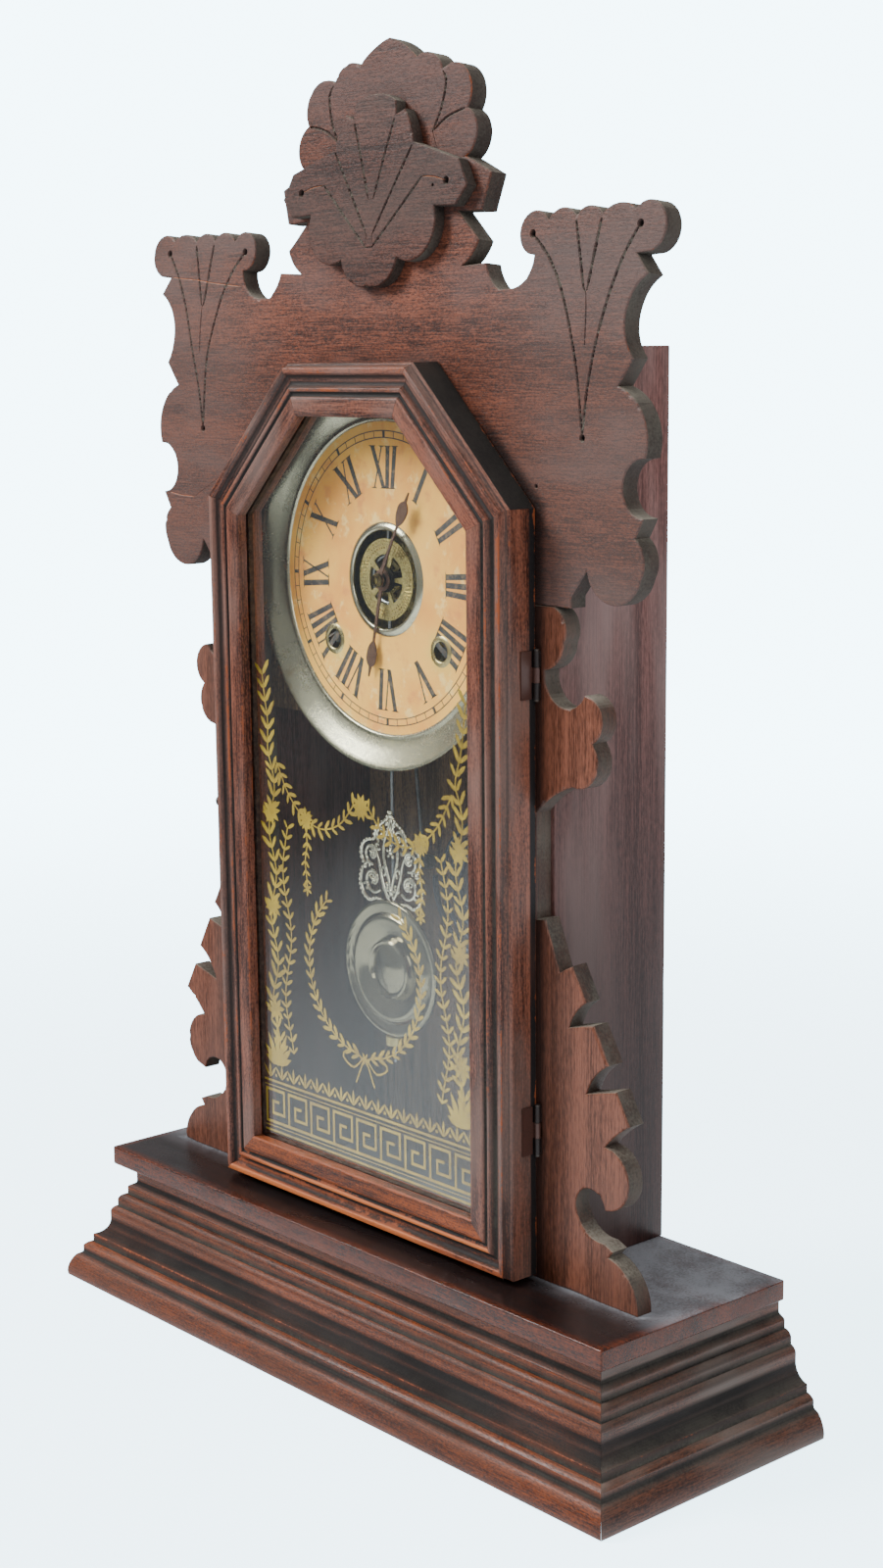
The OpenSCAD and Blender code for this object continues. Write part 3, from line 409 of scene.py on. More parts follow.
anyMetal = {"metal": 1.0, "bump": 0.15, "relief": 0.00003, "cloud": (70, 5, 0.6), "fine": (900, 4, 0.65, (3, 3, 3)),
            "cloudShare": 0.6, "aged": (0.42, 0.66), "dulled": (0.35, 0.65)}
metals = {  # metal and spot colour as seen, roughness low and high, amount of spots, what differs
    "panNickel": ("b5ae95", "6b6552", 0.2, 0.3, 0.4, {"metal": 0.95, "bump": 0.015}),
    "bobNickel": ("88816a", "5c5644", 0.08, 0.16, 0.4, {"bump": 0.06}),
    "castNickel": ("f2ecd4", "8a8262", 0.08, 0.24, 0.7, {}),
    "ringTin": ("cdc7ae", "8a8468", 0.12, 0.24, 0.3, {"bump": 0.05}),
    "hubBrass": ("5e5236", "2c251a", 0.18, 0.4, 0.7, {}),
    "oldBrass": ("cfbd7c", "8f7a44", 0.28, 0.5, 0.6, {"metal": 0.9}),
    "stippledBrass": ("d9c985", "6b5a2c", 0.25, 0.5, 1.0, {
        "metal": 0.95, "bump": 1.0, "relief": 0.0003, "core": "2b2519", "coreEdge": (5.2 * mm, 5.8 * mm)}),
    "grommetBrass": ("cdbb86", "8a7648", 0.2, 0.4, 0.4, {}),
    "plateBrass": ("ab9350", "5f4d28", 0.35, 0.6, 0.7, {}),
    "dullSteel": ("8d8f92", "4c4843", 0.3, 0.55, 0.6, {}),
    "blueSteel": ("4b505c", "39302a", 0.25, 0.5, 0.6, {}),
    "stainedIron": ("1d1412", "33211b", 0.4, 0.65, 0.7, {"metal": 0.3}),
    "varnishedIron": ("4c3028", "301e18", 0.35, 0.5, 0.8, {"metal": 0.2}),
    "darkIron": ("4a4643", "5b3a28", 0.45, 0.7, 0.7, {"metal": 0.75}),
    "brownSteel": ("6a4d3e", "3c2a22", 0.35, 0.6, 0.7, {"metal": 0.7})}


def makeMetal(name, base, spot, low, high, spots, changes):
    c = {**anyMetal, **changes}
    mat, g, here = newMaterial(name)
    mixed = blended(g.noise(here, *c["cloud"]), g.noise(here, *c["fine"]), c["cloudShare"])
    tone = g.mix(g.ramp(mixed, *c["aged"]) * spots, rgb(base), rgb(spot))
    if "core" in c:  # darker close to the dial's axis
        flat = g.add("ShaderNodeVectorMath", {0: here, 1: (1, 0, 1)}, operation="MULTIPLY")
        away = g.vector("DISTANCE", flat, (0, 0, middle("dial_pan") * mm))
        tone = g.mix(g.ramp(away, *c["coreEdge"], 1, 0), tone, rgb(c["core"]))
    return coated(mat, {"Base Color": tone, "Roughness": g.ramp(mixed, *c["dulled"], low, high),
                        "Metallic": c["metal"], "Normal": g.bump(mixed, c["bump"], c["relief"])})


windX, windZ = 34.3, 317.0  # the winding holes
paper = {"cloud": (22, 4, 0.6, (1, 4, 2)), "blots": (95, 4, 0.65, (4, 4, 1)),
         "streak": ((130, 60, 120), 4, 0.65, (9, 2, 5)), "fibre": (1600, 3, 0.6),
         "warm": ("eb9f42", "f7ba52", (0.35, 0.65)), "pale": ("f8d384", (0.56, 0.68), 0.75),
         "pink": ("d88446", (0.53, 0.72), 0.65), "oil": ("d9bd5a", (-0.001, 0.006, 0.6, 0), 0.012),
         "dark": ("a5713f", (0.55, 0.75), 0.12), "rough": 0.62, "shine": 0.3, "bump": (0.2, 0.0001)}


def makePaper(c):
    mat, g, here = newMaterial("agedPaper")
    cloud, blots, streak, fibre = (g.noise(here, *c[key]) for key in ("cloud", "blots", "streak", "fibre"))
    dark, light, levels = c["warm"]
    tone = g.mix(g.ramp(cloud, *levels), rgb(dark), rgb(light))
    for stain, (code, levels, most) in ((streak, c["pale"]), (blots, c["pink"])):
        tone = g.mix(g.ramp(stain, *levels) * most, tone, rgb(code))
    code, levels, uneven = c["oil"]
    for s in (1, -1):  # old oil round the winding holes
        away = g.vector("DISTANCE", here, (s * windX * mm, corner("dial_paper", 0, "y") * mm, windZ * mm))
        tone = g.mix(g.ramp(away - blots * uneven, *levels), tone, rgb(code))
    code, levels, most = c["dark"]
    return coated(mat, {"Base Color": g.mix(g.ramp(fibre, *levels) * most, tone, rgb(code)), "Roughness": c["rough"],
                        "Specular IOR Level": c["shine"], "Normal": g.bump(fibre, *c["bump"])})


ink = {"fine": (520, 4, 0.7), "worn": (0.45, 0.7), "most": 0.3, "codes": ("2c2a2a", "b99672"),
       "rough": (0.3, 0.7, 0.5, 0.75)}
gold = {"fine": (600, 4, 0.7), "cloud": (60, 3, 0.6), "clouded": (0.35, 0.65), "codes": ("8f7206", "a98b12"),
        "worn": (0.5, 0.75), "most": 0.35, "wornCode": "7c6a22", "rough": (0.3, 0.7, 0.45, 0.65), "metal": 0.25}
glass = {"tint": (0.93, 0.96, 0.95), "rough": 0.01, "bend": 1.45, "waves": ((30, 30, 12), 2, 0.5),
         "bump": (0.05, 0.0004)}
putty = {"fine": (400, 4, 0.7), "worn": (0.35, 0.7), "codes": ("241a16", "4a3a31"), "rough": 0.8}


def makeInk(c):
    mat, g, here = newMaterial("dialInk")
    fine = g.noise(here, *c["fine"])
    tone = g.mix(g.ramp(fine, *c["worn"]) * c["most"], *map(rgb, c["codes"]))
    return coated(mat, {"Base Color": tone, "Roughness": g.ramp(fine, *c["rough"])})


def makeGold(c):
    mat, g, here = newMaterial("goldPrint")
    fine = g.noise(here, *c["fine"])
    tone = g.mix(g.ramp(g.noise(here, *c["cloud"]), *c["clouded"]), *map(rgb, c["codes"]))
    tone = g.mix(g.ramp(fine, *c["worn"]) * c["most"], tone, rgb(c["wornCode"]))
    return coated(mat, {"Base Color": tone, "Roughness": g.ramp(fine, *c["rough"]), "Metallic": c["metal"]})


def makeGlass(c):  # shadows of it are clear
    mat, g, here = newMaterial("oldGlass")
    coated(mat, {"Base Color": c["tint"], "Roughness": c["rough"], "Transmission Weight": 1, "IOR": c["bend"],
                 "Normal": g.bump(g.noise(here, *c["waves"]), *c["bump"])})
    clear = g.add("ShaderNodeBsdfTransparent", {"Color": c["tint"]})
    surface(g, g.forRay("Is Shadow Ray", skinOf(g), clear))
    return mat


def makePutty(c):
    mat, g, here = newMaterial("dryPutty")
    tone = g.mix(g.ramp(g.noise(here, *c["fine"]), *c["worn"]), *map(rgb, c["codes"]))
    return coated(mat, {"Base Color": tone, "Roughness": c["rough"]})


finish = {name: makeWood(name, *row) for name, row in woods.items()}
finish.update({name: makeMetal(name, *row) for name, row in metals.items()})
finish.update({"agedPaper": makePaper(paper), "dialInk": makeInk(ink), "goldPrint": makeGold(gold),
               "oldGlass": makeGlass(glass), "dryPutty": makePutty(putty)})
print("stage: finishes")


# shapes that the pieces share

meshCare = {"weld": 2e-7, "sliver": 1e-8}


def newPiece(name, shape, body, slotName, look, replaced=None, marks=(), uvs=None, sharp=38, frontSharp=None):
    mesh = bpy.data.meshes.new(name)
    mesh.from_pydata([Vector(v) * mm for v in shape[0]], [], shape[1])
    mesh.materials.append(finish[look])
    for label, values in zip(("proud", "groove", "dust"), zip(*marks)):
        mesh.attributes.new(label, "FLOAT", "POINT").data.foreach_set("value", values)
    if uvs:
        layer = mesh.uv_layers.new(name="alongGrain")
        layer.data.foreach_set("uv", [c for face in uvs for spot in face for c in spot])
    bm = bmesh.new()
    bm.from_mesh(mesh)
    bmesh.ops.remove_doubles(bm, verts=bm.verts, dist=meshCare["weld"])
    bmesh.ops.dissolve_degenerate(bm, edges=bm.edges, dist=meshCare["sliver"])
    bmesh.ops.delete(bm, geom=[v for v in bm.verts if not v.link_faces], context="VERTS")
    bmesh.ops.recalc_face_normals(bm, faces=bm.faces)
    bm.to_mesh(mesh)
    bm.free()
    mesh.shade_smooth()
    mesh.set_sharp_from_angle(angle=math.radians(sharp))
    if frontSharp:
        markFront(mesh, math.radians(frontSharp))
    piece = shown(name, mesh)
    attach(piece, body)
    if replaced:
        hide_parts(replaced)


def markFront(mesh, angle):  # keeps a flat front flat beside its cut lines
    bm = bmesh.new()
    bm.from_mesh(mesh)
    for edge in bm.edges:
        if len(edge.link_faces) == 2 and all(f.normal.y < -0.5 for f in edge.link_faces):
            if edge.calc_face_angle() > angle:
                edge.smooth = False
    bm.to_mesh(mesh)
    bm.free()


def band(first, second, n):  # quads between two rings of n points
    return [[first + i, first + (i + 1) % n, second + (i + 1) % n, second + i] for i in range(n)]


def around(items, i):  # the one before and the one after, in a closed row
    return items[i - 1], items[(i + 1) % len(items)]


def wayAt(points, i):  # direction of an open line at a point
    return (points[min(i + 1, len(points) - 1)] - points[max(i - 1, 0)]).normalized()


def across(way):  # a quarter turn to the left
    return Vector((-way.y, way.x))


def traced(points, steps=10):  # [x, y] or [x, y, swell]: the way to a point bows to its right by swell
    out = []
    for i, p in enumerate(points):
        if len(p) == 2:
            out.append(Vector(p))
            continue
        a, b = Vector(points[i - 1][:2]), Vector(p[:2])
        k = 2 * p[2] / (b - a).length
        centre = (a + b) / 2 + Vector((a.y - b.y, b.x - a.x)) * (1 - k * k) / (4 * k)
        r, t0 = (a - centre).length, math.atan2(a.y - centre.y, a.x - centre.x)
        out += [centre + r * polar(0, 0, 1, t0 + 4 * math.atan(k) * j / steps) for j in range(1, steps + 1)]
    return out


def turnAt(points, i):  # how far a closed line turns left at a point, in radians
    a, c = around(points, i)
    u, v = points[i] - a, c - points[i]
    return math.atan2(u.x * v.y - u.y * v.x, u.dot(v))


def areaOf(points):
    return sum(points[i - 1].x * p.y - p.x * points[i - 1].y for i, p in enumerate(points)) / 2


def insideLoops(spots, loops):  # even-odd test for many points at once
    inside = np.zeros(len(spots), bool)
    x, y = spots[:, 0], spots[:, 1]
    for loop in loops:
        for i, b in enumerate(loop):
            a = loop[i - 1]
            if a[1] != b[1]:
                crosses = (a[1] > y) != (b[1] > y)
                inside ^= crosses & (x < (b[0] - a[0]) * (y - a[1]) / (b[1] - a[1]) + a[0])
    return inside


def fillLoops(loops, lines=()):  # triangles between flat loops, with the lines kept as edges
    points, edges = [], []
    for chain, closed in [(c, True) for c in loops] + [(c, False) for c in lines]:
        first = len(points)
        points += [Vector((p[0], p[1])) for p in chain]
        edges += [(first + i, first + i + 1) for i in range(len(chain) - 1)]
        if closed:
            edges.append((first + len(chain) - 1, first))
    spots, _, triangles = delaunay_2d_cdt(points, edges, [], 0, 1e-5)[:3]
    flat = np.array([(s.x, s.y) for s in spots])
    keep = insideLoops(flat[np.array(triangles)].mean(axis=1), loops)
    return flat, [t for t, k in zip(triangles, keep) if k]


def insetLoop(points, distances):  # moves a counter-clockwise loop inwards, each point by its own distance
    out = []
    for i, p in enumerate(points):
        a, c = around(points, i)
        u, v = (p - a).normalized(), (c - p).normalized()
        n = Vector((-u.y - v.y, u.x + v.x))
        out.append(p + n / max(n.length_squared / 2, 0.35) * distances[i])
    return out


def refined(points, sharp=26, longest=7.0):  # rounds the steps of sawn curves and splits long straights
    bends = [abs(math.degrees(turnAt(points, i))) for i in range(len(points))]
    out = []
    n = len(points)
    for i, p in enumerate(points):
        out.append(p)
        q = points[(i + 1) % n]
        gap = (q - p).length
        if gap > longest:
            pieces = int(gap / longest) + 1
            out += [p.lerp(q, k / pieces) for k in range(1, pieces)]
        elif gap > 0.5 and bends[i] < sharp and bends[(i + 1) % n] < sharp:
            out.append((9 * (p + q) - points[i - 1] - points[(i + 2) % n]) / 16)
    return out


def cutAt(points, levels):  # adds a point wherever a loop crosses one of the heights
    out = []
    for i, p in enumerate(points):
        q = around(points, i)[1]
        out.append(p)
        hits = [h for h in levels if min(p.y, q.y) + 0.05 < h < max(p.y, q.y) - 0.05]
        out += [p.lerp(q, (h - p.y) / (q.y - p.y)) for h in sorted(hits, reverse=q.y < p.y)]
    return out


def spaced(points, step, fine=12):  # even steps along a smooth line through the points
    pts = [Vector(p) for p in points]
    dense = []
    for i in range(len(pts) - 1):
        a, b, c, d = pts[max(i - 1, 0)], pts[i], pts[i + 1], pts[min(i + 2, len(pts) - 1)]
        for k in range(fine):
            t = k / fine
            bend = (2 * a - 5 * b + 4 * c - d) * t * t + (3 * b - a - 3 * c + d) * t ** 3
            dense.append(0.5 * (2 * b + (c - a) * t + bend))
    dense.append(pts[-1])
    gaps = [(q - p).length for p, q in zip(dense, dense[1:])]
    total = sum(gaps)
    count = max(int(round(total / step)), 1)
    out, i, gone = [dense[0]], 0, 0.0
    for k in range(1, count):
        want = total * k / count
        while gone + gaps[i] < want:
            gone += gaps[i]
            i += 1
        out.append(dense[i].lerp(dense[i + 1], (want - gone) / gaps[i]))
    return out + [dense[-1]]


# sawn boards

sawn = {"front": corner("front_board_right", 0, "y"), "bendZ": corner("case_top", 1, "z"), "lean": math.radians(4.7),
        "bendHalf": 7.0, "thick": 8.5, "shieldThick": 5.5, "wobble": 0.12, "wobbleRate": 0.13, "chip": 1.5,
        "chipRate": 0.4, "chipFrom": 0.3, "patchRate": 0.05, "edgeSootAndShade": (0.66, 0.25), "edgeDust": (0.12, 0.35),
        "lineStep": 0.8, "taper": 6, "dotBeat": (1.0, 0.7), "plainBeat": 0.8, "dottedSpecks": 0.6, "reach": 2.6,
        "pitDeep": 1.1, "pitSteep": 2.2, "crackRaw": 3, "mostRaw": 1.8, "darkSteep": 1.3, "speckSteep": 1.6}


def onBoard(x, z, depth):  # from the flat board to space; the crest bends back above the case
    low, whole = sawn["bendZ"] - sawn["bendHalf"], 2 * sawn["bendHalf"]
    along = z - low
    if along <= 0:
        return Vector((x, sawn["front"] + depth, z))
    angle = min(along / whole, 1) * sawn["lean"]
    past = max(along - whole, 0)
    radius = whole / sawn["lean"]
    y = radius * (1 - math.cos(angle)) + past * math.sin(angle)
    up = radius * math.sin(angle) + past * math.cos(angle)
    return Vector((x, sawn["front"] + y + depth * math.cos(angle), low + up - depth * math.sin(angle)))


def frontLoop(node):  # outline of a board's front face on the flat board, counter-clockwise
    bm = bmesh.new()
    bm.from_mesh(nodes[node].data)
    bmesh.ops.remove_doubles(bm, verts=bm.verts, dist=1e-6)
    faces = [f for f in bm.faces if f.normal.y < -0.99]
    inFront = set(faces)
    after = {}
    for f in faces:
        for loop in f.loops:
            if sum(g in inFront for g in loop.edge.link_faces) == 1:
                after[loop.vert] = loop.link_loop_next.vert
    loops = []
    while after:
        vert = next(iter(after))
        flat = []
        while vert in after:
            x, y, z = vert.co / mm
            dy, dz = y - sawn["front"], z - sawn["bendZ"]
            if dz > 1e-3:
                z = sawn["bendZ"] + dz * math.cos(sawn["lean"]) + dy * math.sin(sawn["lean"])
            flat.append(Vector((x, z)))
            vert = after.pop(vert)
        loops.append(flat)
    bm.free()
    return max(loops, key=lambda p: abs(areaOf(p)))


def cutLines(c, s):  # the lines as edges for the fill, and the dents along them
    rng = random.Random(c["seed"])
    edges, dents = [], []
    for points, width, deep, kind in c["lines"]:
        centre = spaced(points, s["lineStep"])
        left, right = [], []
        for i, p in enumerate(centre):
            ends = min(1, 0.35 + i / s["taper"], 0.35 + (len(centre) - 1 - i) / s["taper"])
            swell = width * 0.5 * (0.8 + 0.4 * rng.random()) * ends
            aside = across(wayAt(centre, i)) * swell
            left.append(p + aside)
            right.append(p - aside)
            beat = s["dotBeat"][i % 2] if kind == "dotted" else s["plainBeat"]
            # light specks in the dust colour along the dotted lines
            speck = 1.0 if kind == "dotted" and rng.random() < s["dottedSpecks"] else 0.0
            dents.append((p.x, p.y, swell, deep * beat * (0.7 + 0.5 * rng.random()), kind, speck))
        edges += [centre, left, right]
    for x, z, r in c["pits"]:
        edges += [[polar(x, z, r * share, 2 * math.pi * a / 12) for a in range(13)] for share in (1.0, 0.6)]
        dents.append((x, z, r, r * s["pitDeep"], "pit", 0.0))
    return edges, dents


def dented(x, z, dents, where, s):  # depth, and proud, groove and dust, at a point of the front
    depth = dark = worn = dusty = 0.0
    gaps = np.hypot(where[:, 0] - x, where[:, 1] - z)
    for j in np.nonzero(gaps < s["reach"])[0]:
        _, _, half, deep, kind, speck = dents[j]
        share = max(0.0, 1 - gaps[j] / half)
        if kind == "pit":
            share = min(1, share * s["pitSteep"])
        if share * deep > depth:
            depth = share * deep
            # the light specks are carried by the dust mark
            dusty = speck * min(1, share * s["speckSteep"])
        if kind == "crack":
            worn = max(worn, share * s["crackRaw"])
        else:
            dark = max(dark, min(1, share * s["darkSteep"]))
    return depth, (min(s["mostRaw"], worn), dark, dusty)


def makeBoard(name, node, c):
    s, start, thick = sawn, c["start"], c["thick"]
    levels = [s["bendZ"] + s["bendHalf"] * k / 3 for k in range(-3, 4)] if c["bends"] else []

    def uneven(p, z, rate):
        return noise.noise(Vector((p.x, p.y, z)) * rate)

    loop = refined(frontLoop(node))
    loop = cutAt([p + s["wobble"] * Vector([uneven(p, z, s["wobbleRate"]) for z in (3, 9)]) for p in loop], levels)
    chips = [max(0, uneven(p, c["seed"], s["chipRate"]) - s["chipFrom"]) * s["chip"] for p in loop]
    rings = [(1.3, 0.0, 0, 0.3), (0.55, 0.02, 0.25, 1), (0.22, 0.15, 0.9, 1), (0.05, 0.42, 1, 0.7),
             (0, 0.95, 0, 0.3), (0, thick - 0.5, 0, 0), (0.15, thick - 0.15, 0.6, 0), (0.55, thick, 0, 0)]
    verts, faces, marks, outlines = [], [], [], []
    n = len(loop)
    for inset, depth, worn, chipped in rings:  # from the front's edge to the back's
        outlines.append(insetLoop(loop, [inset + g * chipped for g in chips]))
        sunk = 0.5 * chipped if depth < 1 and inset < 1 else 0
        edge = 0.9 < depth < thick
        for p, at, g in zip(loop, outlines[-1], chips):
            verts.append(onBoard(at.x, at.y, start + depth + g * sunk))
            patchy = 0.5 + noise.noise(Vector((p.x * s["patchRate"], p.y * s["patchRate"], 20 + depth * 0.1)))
            # sawn edges darkened: soot, and painted shade for side faces turned from the light; dust on them too
            sootAndShade, dust = (least + more * patchy if edge else 0.0 for least, more in (s["edgeSootAndShade"], s["edgeDust"]))
            marks.append((min(1, worn * (1 + g)), sootAndShade, dust))
    for k in range(len(rings) - 1):
        faces += band(k * n, (k + 1) * n, n)
    edges, dents = cutLines(c, s)
    reach = max(abs(p.x) for p in loop) + 5
    edges += [[Vector((-reach, q)), Vector((reach, q))] for q in levels]
    where = np.array([d[:2] for d in dents]).reshape(-1, 2)
    flat, triangles = fillLoops([outlines[0]], edges)
    faces += [[len(verts) + i for i in t] for t in triangles]
    for x, z in flat:
        depth, mark = dented(x, z, dents, where, s)
        verts.append(onBoard(x, z, start + depth))
        marks.append(mark)
    flat, triangles = fillLoops([outlines[-1]], [[Vector((-200, q)), Vector((200, q))] for q in levels])
    faces += [[len(verts) + i for i in t] for t in triangles]
    verts += [onBoard(x, z, start + thick) for x, z in flat]
    marks += [(0.0, 0.0, 0.0)] * len(flat)
    newPiece(name, (verts, faces), "case", c["slot"], c["finish"], node, marks, sharp=40, frontSharp=5)


def bothSides(lines):
    return lines + [([(-x, z) for x, z in points], *rest) for points, *rest in lines]


groove = (1.5, 1.0, "dotted")  # width, depth, kind
wingLines = [([(90, 480.1), (99.5, 471), (107.8, 457.4), (115.9, 434), (119.8, 405.5)], *groove),
             ([(146, 481.4), (138.5, 470.5), (132.2, 456.8), (127.4, 441.9), (122.4, 422.4), (120, 405.5)], *groove),
             ([(112.6, 485.2), (115.6, 473), (118.5, 460.6), (120, 457.9)], *groove),
             ([(126.3, 485.4), (122.9, 469.3), (120.6, 458.4)], *groove),
             ([(120.3, 457), (120.9, 448), (121, 438)], 0.9, 0.35, "plain")]
fanLines = [([(33.4, 545), (36.1, 540.4), (34, 530.4), (29.5, 521.9)], 1.4, 0.9, "dotted"),
            ([(49.4, 529.2), (45, 528.7), (37.2, 526.5), (30.2, 522.3)], 1.4, 0.9, "plain")]
shieldRays = [([(13.2, 529.2), (7.5, 514), (1.6, 497)], 1.3, 0.9, "dotted"),
              ([(24.3, 517), (13, 500), (1.8, 483)], 1.3, 0.9, "dotted"),
              ([(30.7, 504), (16, 490.6), (2, 478)], 1.3, 0.9, "dotted"),
              ([(44.5, 501.8), (38, 503.4), (30.9, 504)], 0.9, 0.5, "crack")]
leftCracks = [
    ([(-149, 471.8), (-138, 470.4), (-126, 469.4), (-112, 467.6), (-99, 466.3), (-92, 465.6)], 0.9, 0.35, "crack"),
    ([(-151, 376.2), (-139, 374.6), (-128, 374.2)], 0.8, 0.35, "crack")]
wingPits = ((90, 480.1, 1.7), (146, 481.4, 1.7), (119.9, 404.6, 1.6))
frontBoard = {"start": 0, "thick": sawn["thick"], "bends": False, "slot": "front_wood", "finish": "frontWood",
              "lines": [], "pits": []}
boardLooks = {
    "crestBoard": ("crest_board", {"start": 0, "thick": sawn["thick"], "bends": True, "slot": "crest_wood",
                   "finish": "crestWood", "seed": 3,
                   "lines": bothSides(wingLines) + bothSides(fanLines) + leftCracks,
                   "pits": [(s * x, z, r) for s in (1, -1) for x, z, r in wingPits]
                   + [(95.1, 386, 1.0), (-98, 389, 0.9)]}),
    "crestShield": ("crest_shield", {"start": -sawn["shieldThick"], "thick": sawn["shieldThick"], "bends": False,
                    "slot": "crest_wood", "finish": "shieldWood", "lines": bothSides(shieldRays), "seed": 5,
                    "pits": [(45.2, 501.6, 1.7), (-45.2, 501.6, 1.7), (37.5, 500.3, 0.8)]}),
    "frontBoardLeft": ("front_board_left", {**frontBoard, "seed": 7}),
    "frontBoardRight": ("front_board_right", {**frontBoard, "seed": 9})}
for name, (node, look) in boardLooks.items():
    makeBoard(name, node, look)
print("stage: sawn boards")


# planks: case, base top, back

slab = {"x": corner("base_top_board", 1, "x"), "front": corner("base_top_board", 0, "y"),
        "back": corner("base_top_board", 1, "y"), "top": corner("base_top_board", 1, "z") - 0.3, "boardX": 151,
        # the darkening of the top below is a painted reflection of the door and boards
        "boardDeep": 9, "caseX": 96.4, "footReach": 2.6, "footDust": 0.8, "sootAndShade": 0.93, "rim": (0.8, 4),
        "openX": 96, "openFrom": -24, "openRun": 25, "openDustAndSheen": 0.86, "openLessReflection": 0.2, "leastDust": 0.02}


def slabReflectionAndDust(p):  # painted dark reflection of the door and boards over the glossy top, less of it at the open ends, where bluish grey dust also paints their paler reflection; dust round the foot of the case and boards
    c = slab
    if p.z < c["top"]:
        return (0, 0)
    out = max(abs(p.x) - (c["boardX"] if p.y < sawn["front"] + c["boardDeep"] else c["caseX"]), 0)
    foot = max(0, 1 - math.hypot(out, max(sawn["front"] - p.y, 0)) / c["footReach"]) * c["footDust"]
    rim = min(c["x"] - abs(p.x), p.y - c["front"], c["back"] - p.y)
    sootAndShade = c["sootAndShade"] * min(1, max(0, rim - c["rim"][0]) / c["rim"][1])
    # the open ends: less painted dark reflection, more dust that also paints a paler reflection
    bare = min(1, max(0, (p.y - c["openFrom"]) / c["openRun"])) if abs(p.x) > c["openX"] else 0
    return (sootAndShade * (1 - c["openLessReflection"] * bare), min(1, foot + c["openDustAndSheen"] * bare + c["leastDust"]))


def makePlank(name, node, c):
    low, high = (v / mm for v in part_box(node))
    half, centre, r = (high - low) / 2, (high + low) / 2, c["edge"]
    cuts = []
    for h in half:
        bend = [h - r + r * math.tan(a * math.pi / 12) for a in (3, 2, 1, 0)]
        count = max(int(2 * (h - r) / c["step"]), 1)
        flat = [-(h - r) + 2 * (h - r) * k / count for k in range(1, count)]
        cuts.append([-b for b in bend] + flat + bend[::-1])
    index, verts, faces, marks = {}, [], [], []

    def vertAt(*spot):
        if spot not in index:
            p = Vector([cut[i] for cut, i in zip(cuts, spot)])
            core = Vector([max(-(h - r), min(h - r, q)) for q, h in zip(p, half)])
            out = (p - core).normalized()
            onEdge = sum(abs(q) > 0.1 * r for q in p - core) > 1
            at = core + out * r + centre
            nick = max(0, noise.noise((at + Vector((c["seed"], 0, 0))) * 0.12) - 0.22) * c["nick"] if onEdge else 0
            at -= out * nick
            index[spot] = len(verts)
            verts.append(at)
            marks.append((min(1.0, 0.75 + nick) if onEdge else 0.0, *(c["reflectionAndDust"](at) if "reflectionAndDust" in c else (0, 0))))
        return index[spot]

    for axis in range(3):
        a, b = [q for q in range(3) if q != axis]
        for end in (0, len(cuts[axis]) - 1):
            for i in range(len(cuts[a]) - 1):
                for j in range(len(cuts[b]) - 1):
                    quad = []
                    for u, v in ((i, j), (i + 1, j), (i + 1, j + 1), (i, j + 1)):
                        spot = [0, 0, 0]
                        spot[axis], spot[a], spot[b] = end, u, v
                        quad.append(vertAt(*spot))
                    faces.append(quad)
    newPiece(name, (verts, faces), "case", c["slot"], c["finish"], node, marks, sharp=50)


side = {"edge": 0.6, "step": 12, "nick": 0.3, "slot": "case_wood", "finish": "caseWood"}
plankLooks = {
    "baseTop": ("base_top_board", {"edge": 0.8, "step": 4, "seed": 1, "nick": 0.2, "reflectionAndDust": slabReflectionAndDust,
                                   "slot": "slab_wood", "finish": "slabWood"}),
    "caseSideLeft": ("case_side_left", {**side, "seed": 2}),
    "caseSideRight": ("case_side_right", {**side, "seed": 3}),
    "caseTop": ("case_top", {**side, "edge": 0.5, "seed": 4, "nick": 0.6, "finish": "caseTopWood"}),
    "backBoard": ("back_board", {"edge": 0.4, "step": 20, "seed": 5, "nick": 0.5, "slot": "back_wood",
                                 "finish": "bareWood"}),
    "baseBackRail": ("base_back_rail", {**side, "seed": 6, "nick": 0.7, "slot": "back_wood", "finish": "railWood"})}
for name, (node, look) in plankLooks.items():
    makePlank(name, node, look)
print("stage: case and planks")


# mouldings: door frame and base

def splitFlat(a, b, edge=1.0):  # a point just inside each end of a long flat keeps wear, soot and painted shade at the ridges
    flat = (b - a).length
    return [a] if flat < 3 * edge else [a, a.lerp(b, edge / flat), a.lerp(b, 1 - edge / flat)]


def softened(section, radius, reach=0.9):  # rounds a closed section's corners and marks ridges + and hollows -
    points = traced(section)
    if areaOf(points) < 0:
        points.reverse()
    out = []
    for i, b in enumerate(points):
        a, c = around(points, i)
        if abs(turnAt(points, i)) < 0.3:
            out.append(b)
            continue
        r = min(radius, 0.4 * (a - b).length, 0.4 * (c - b).length)
        q1, q2 = b + (a - b).normalized() * r, b + (c - b).normalized() * r
        out += [q1, (q1 + q2) / 4 + b / 2, q2]
    out = [q for i, p in enumerate(out) for q in splitFlat(p, around(out, i)[1])]
    turns = [turnAt(out, i) for i in range(len(out))]
    length = [0.0]
    for i in range(1, len(out)):
        length.append(length[-1] + (out[i] - out[i - 1]).length)
    marks = []
    for spot in length:
        near = sum(t * max(0, 1 - abs(at - spot) / reach) for t, at in zip(turns, length))
        marks.append(max(-1, min(1, near / reach)))
    return out, marks, length


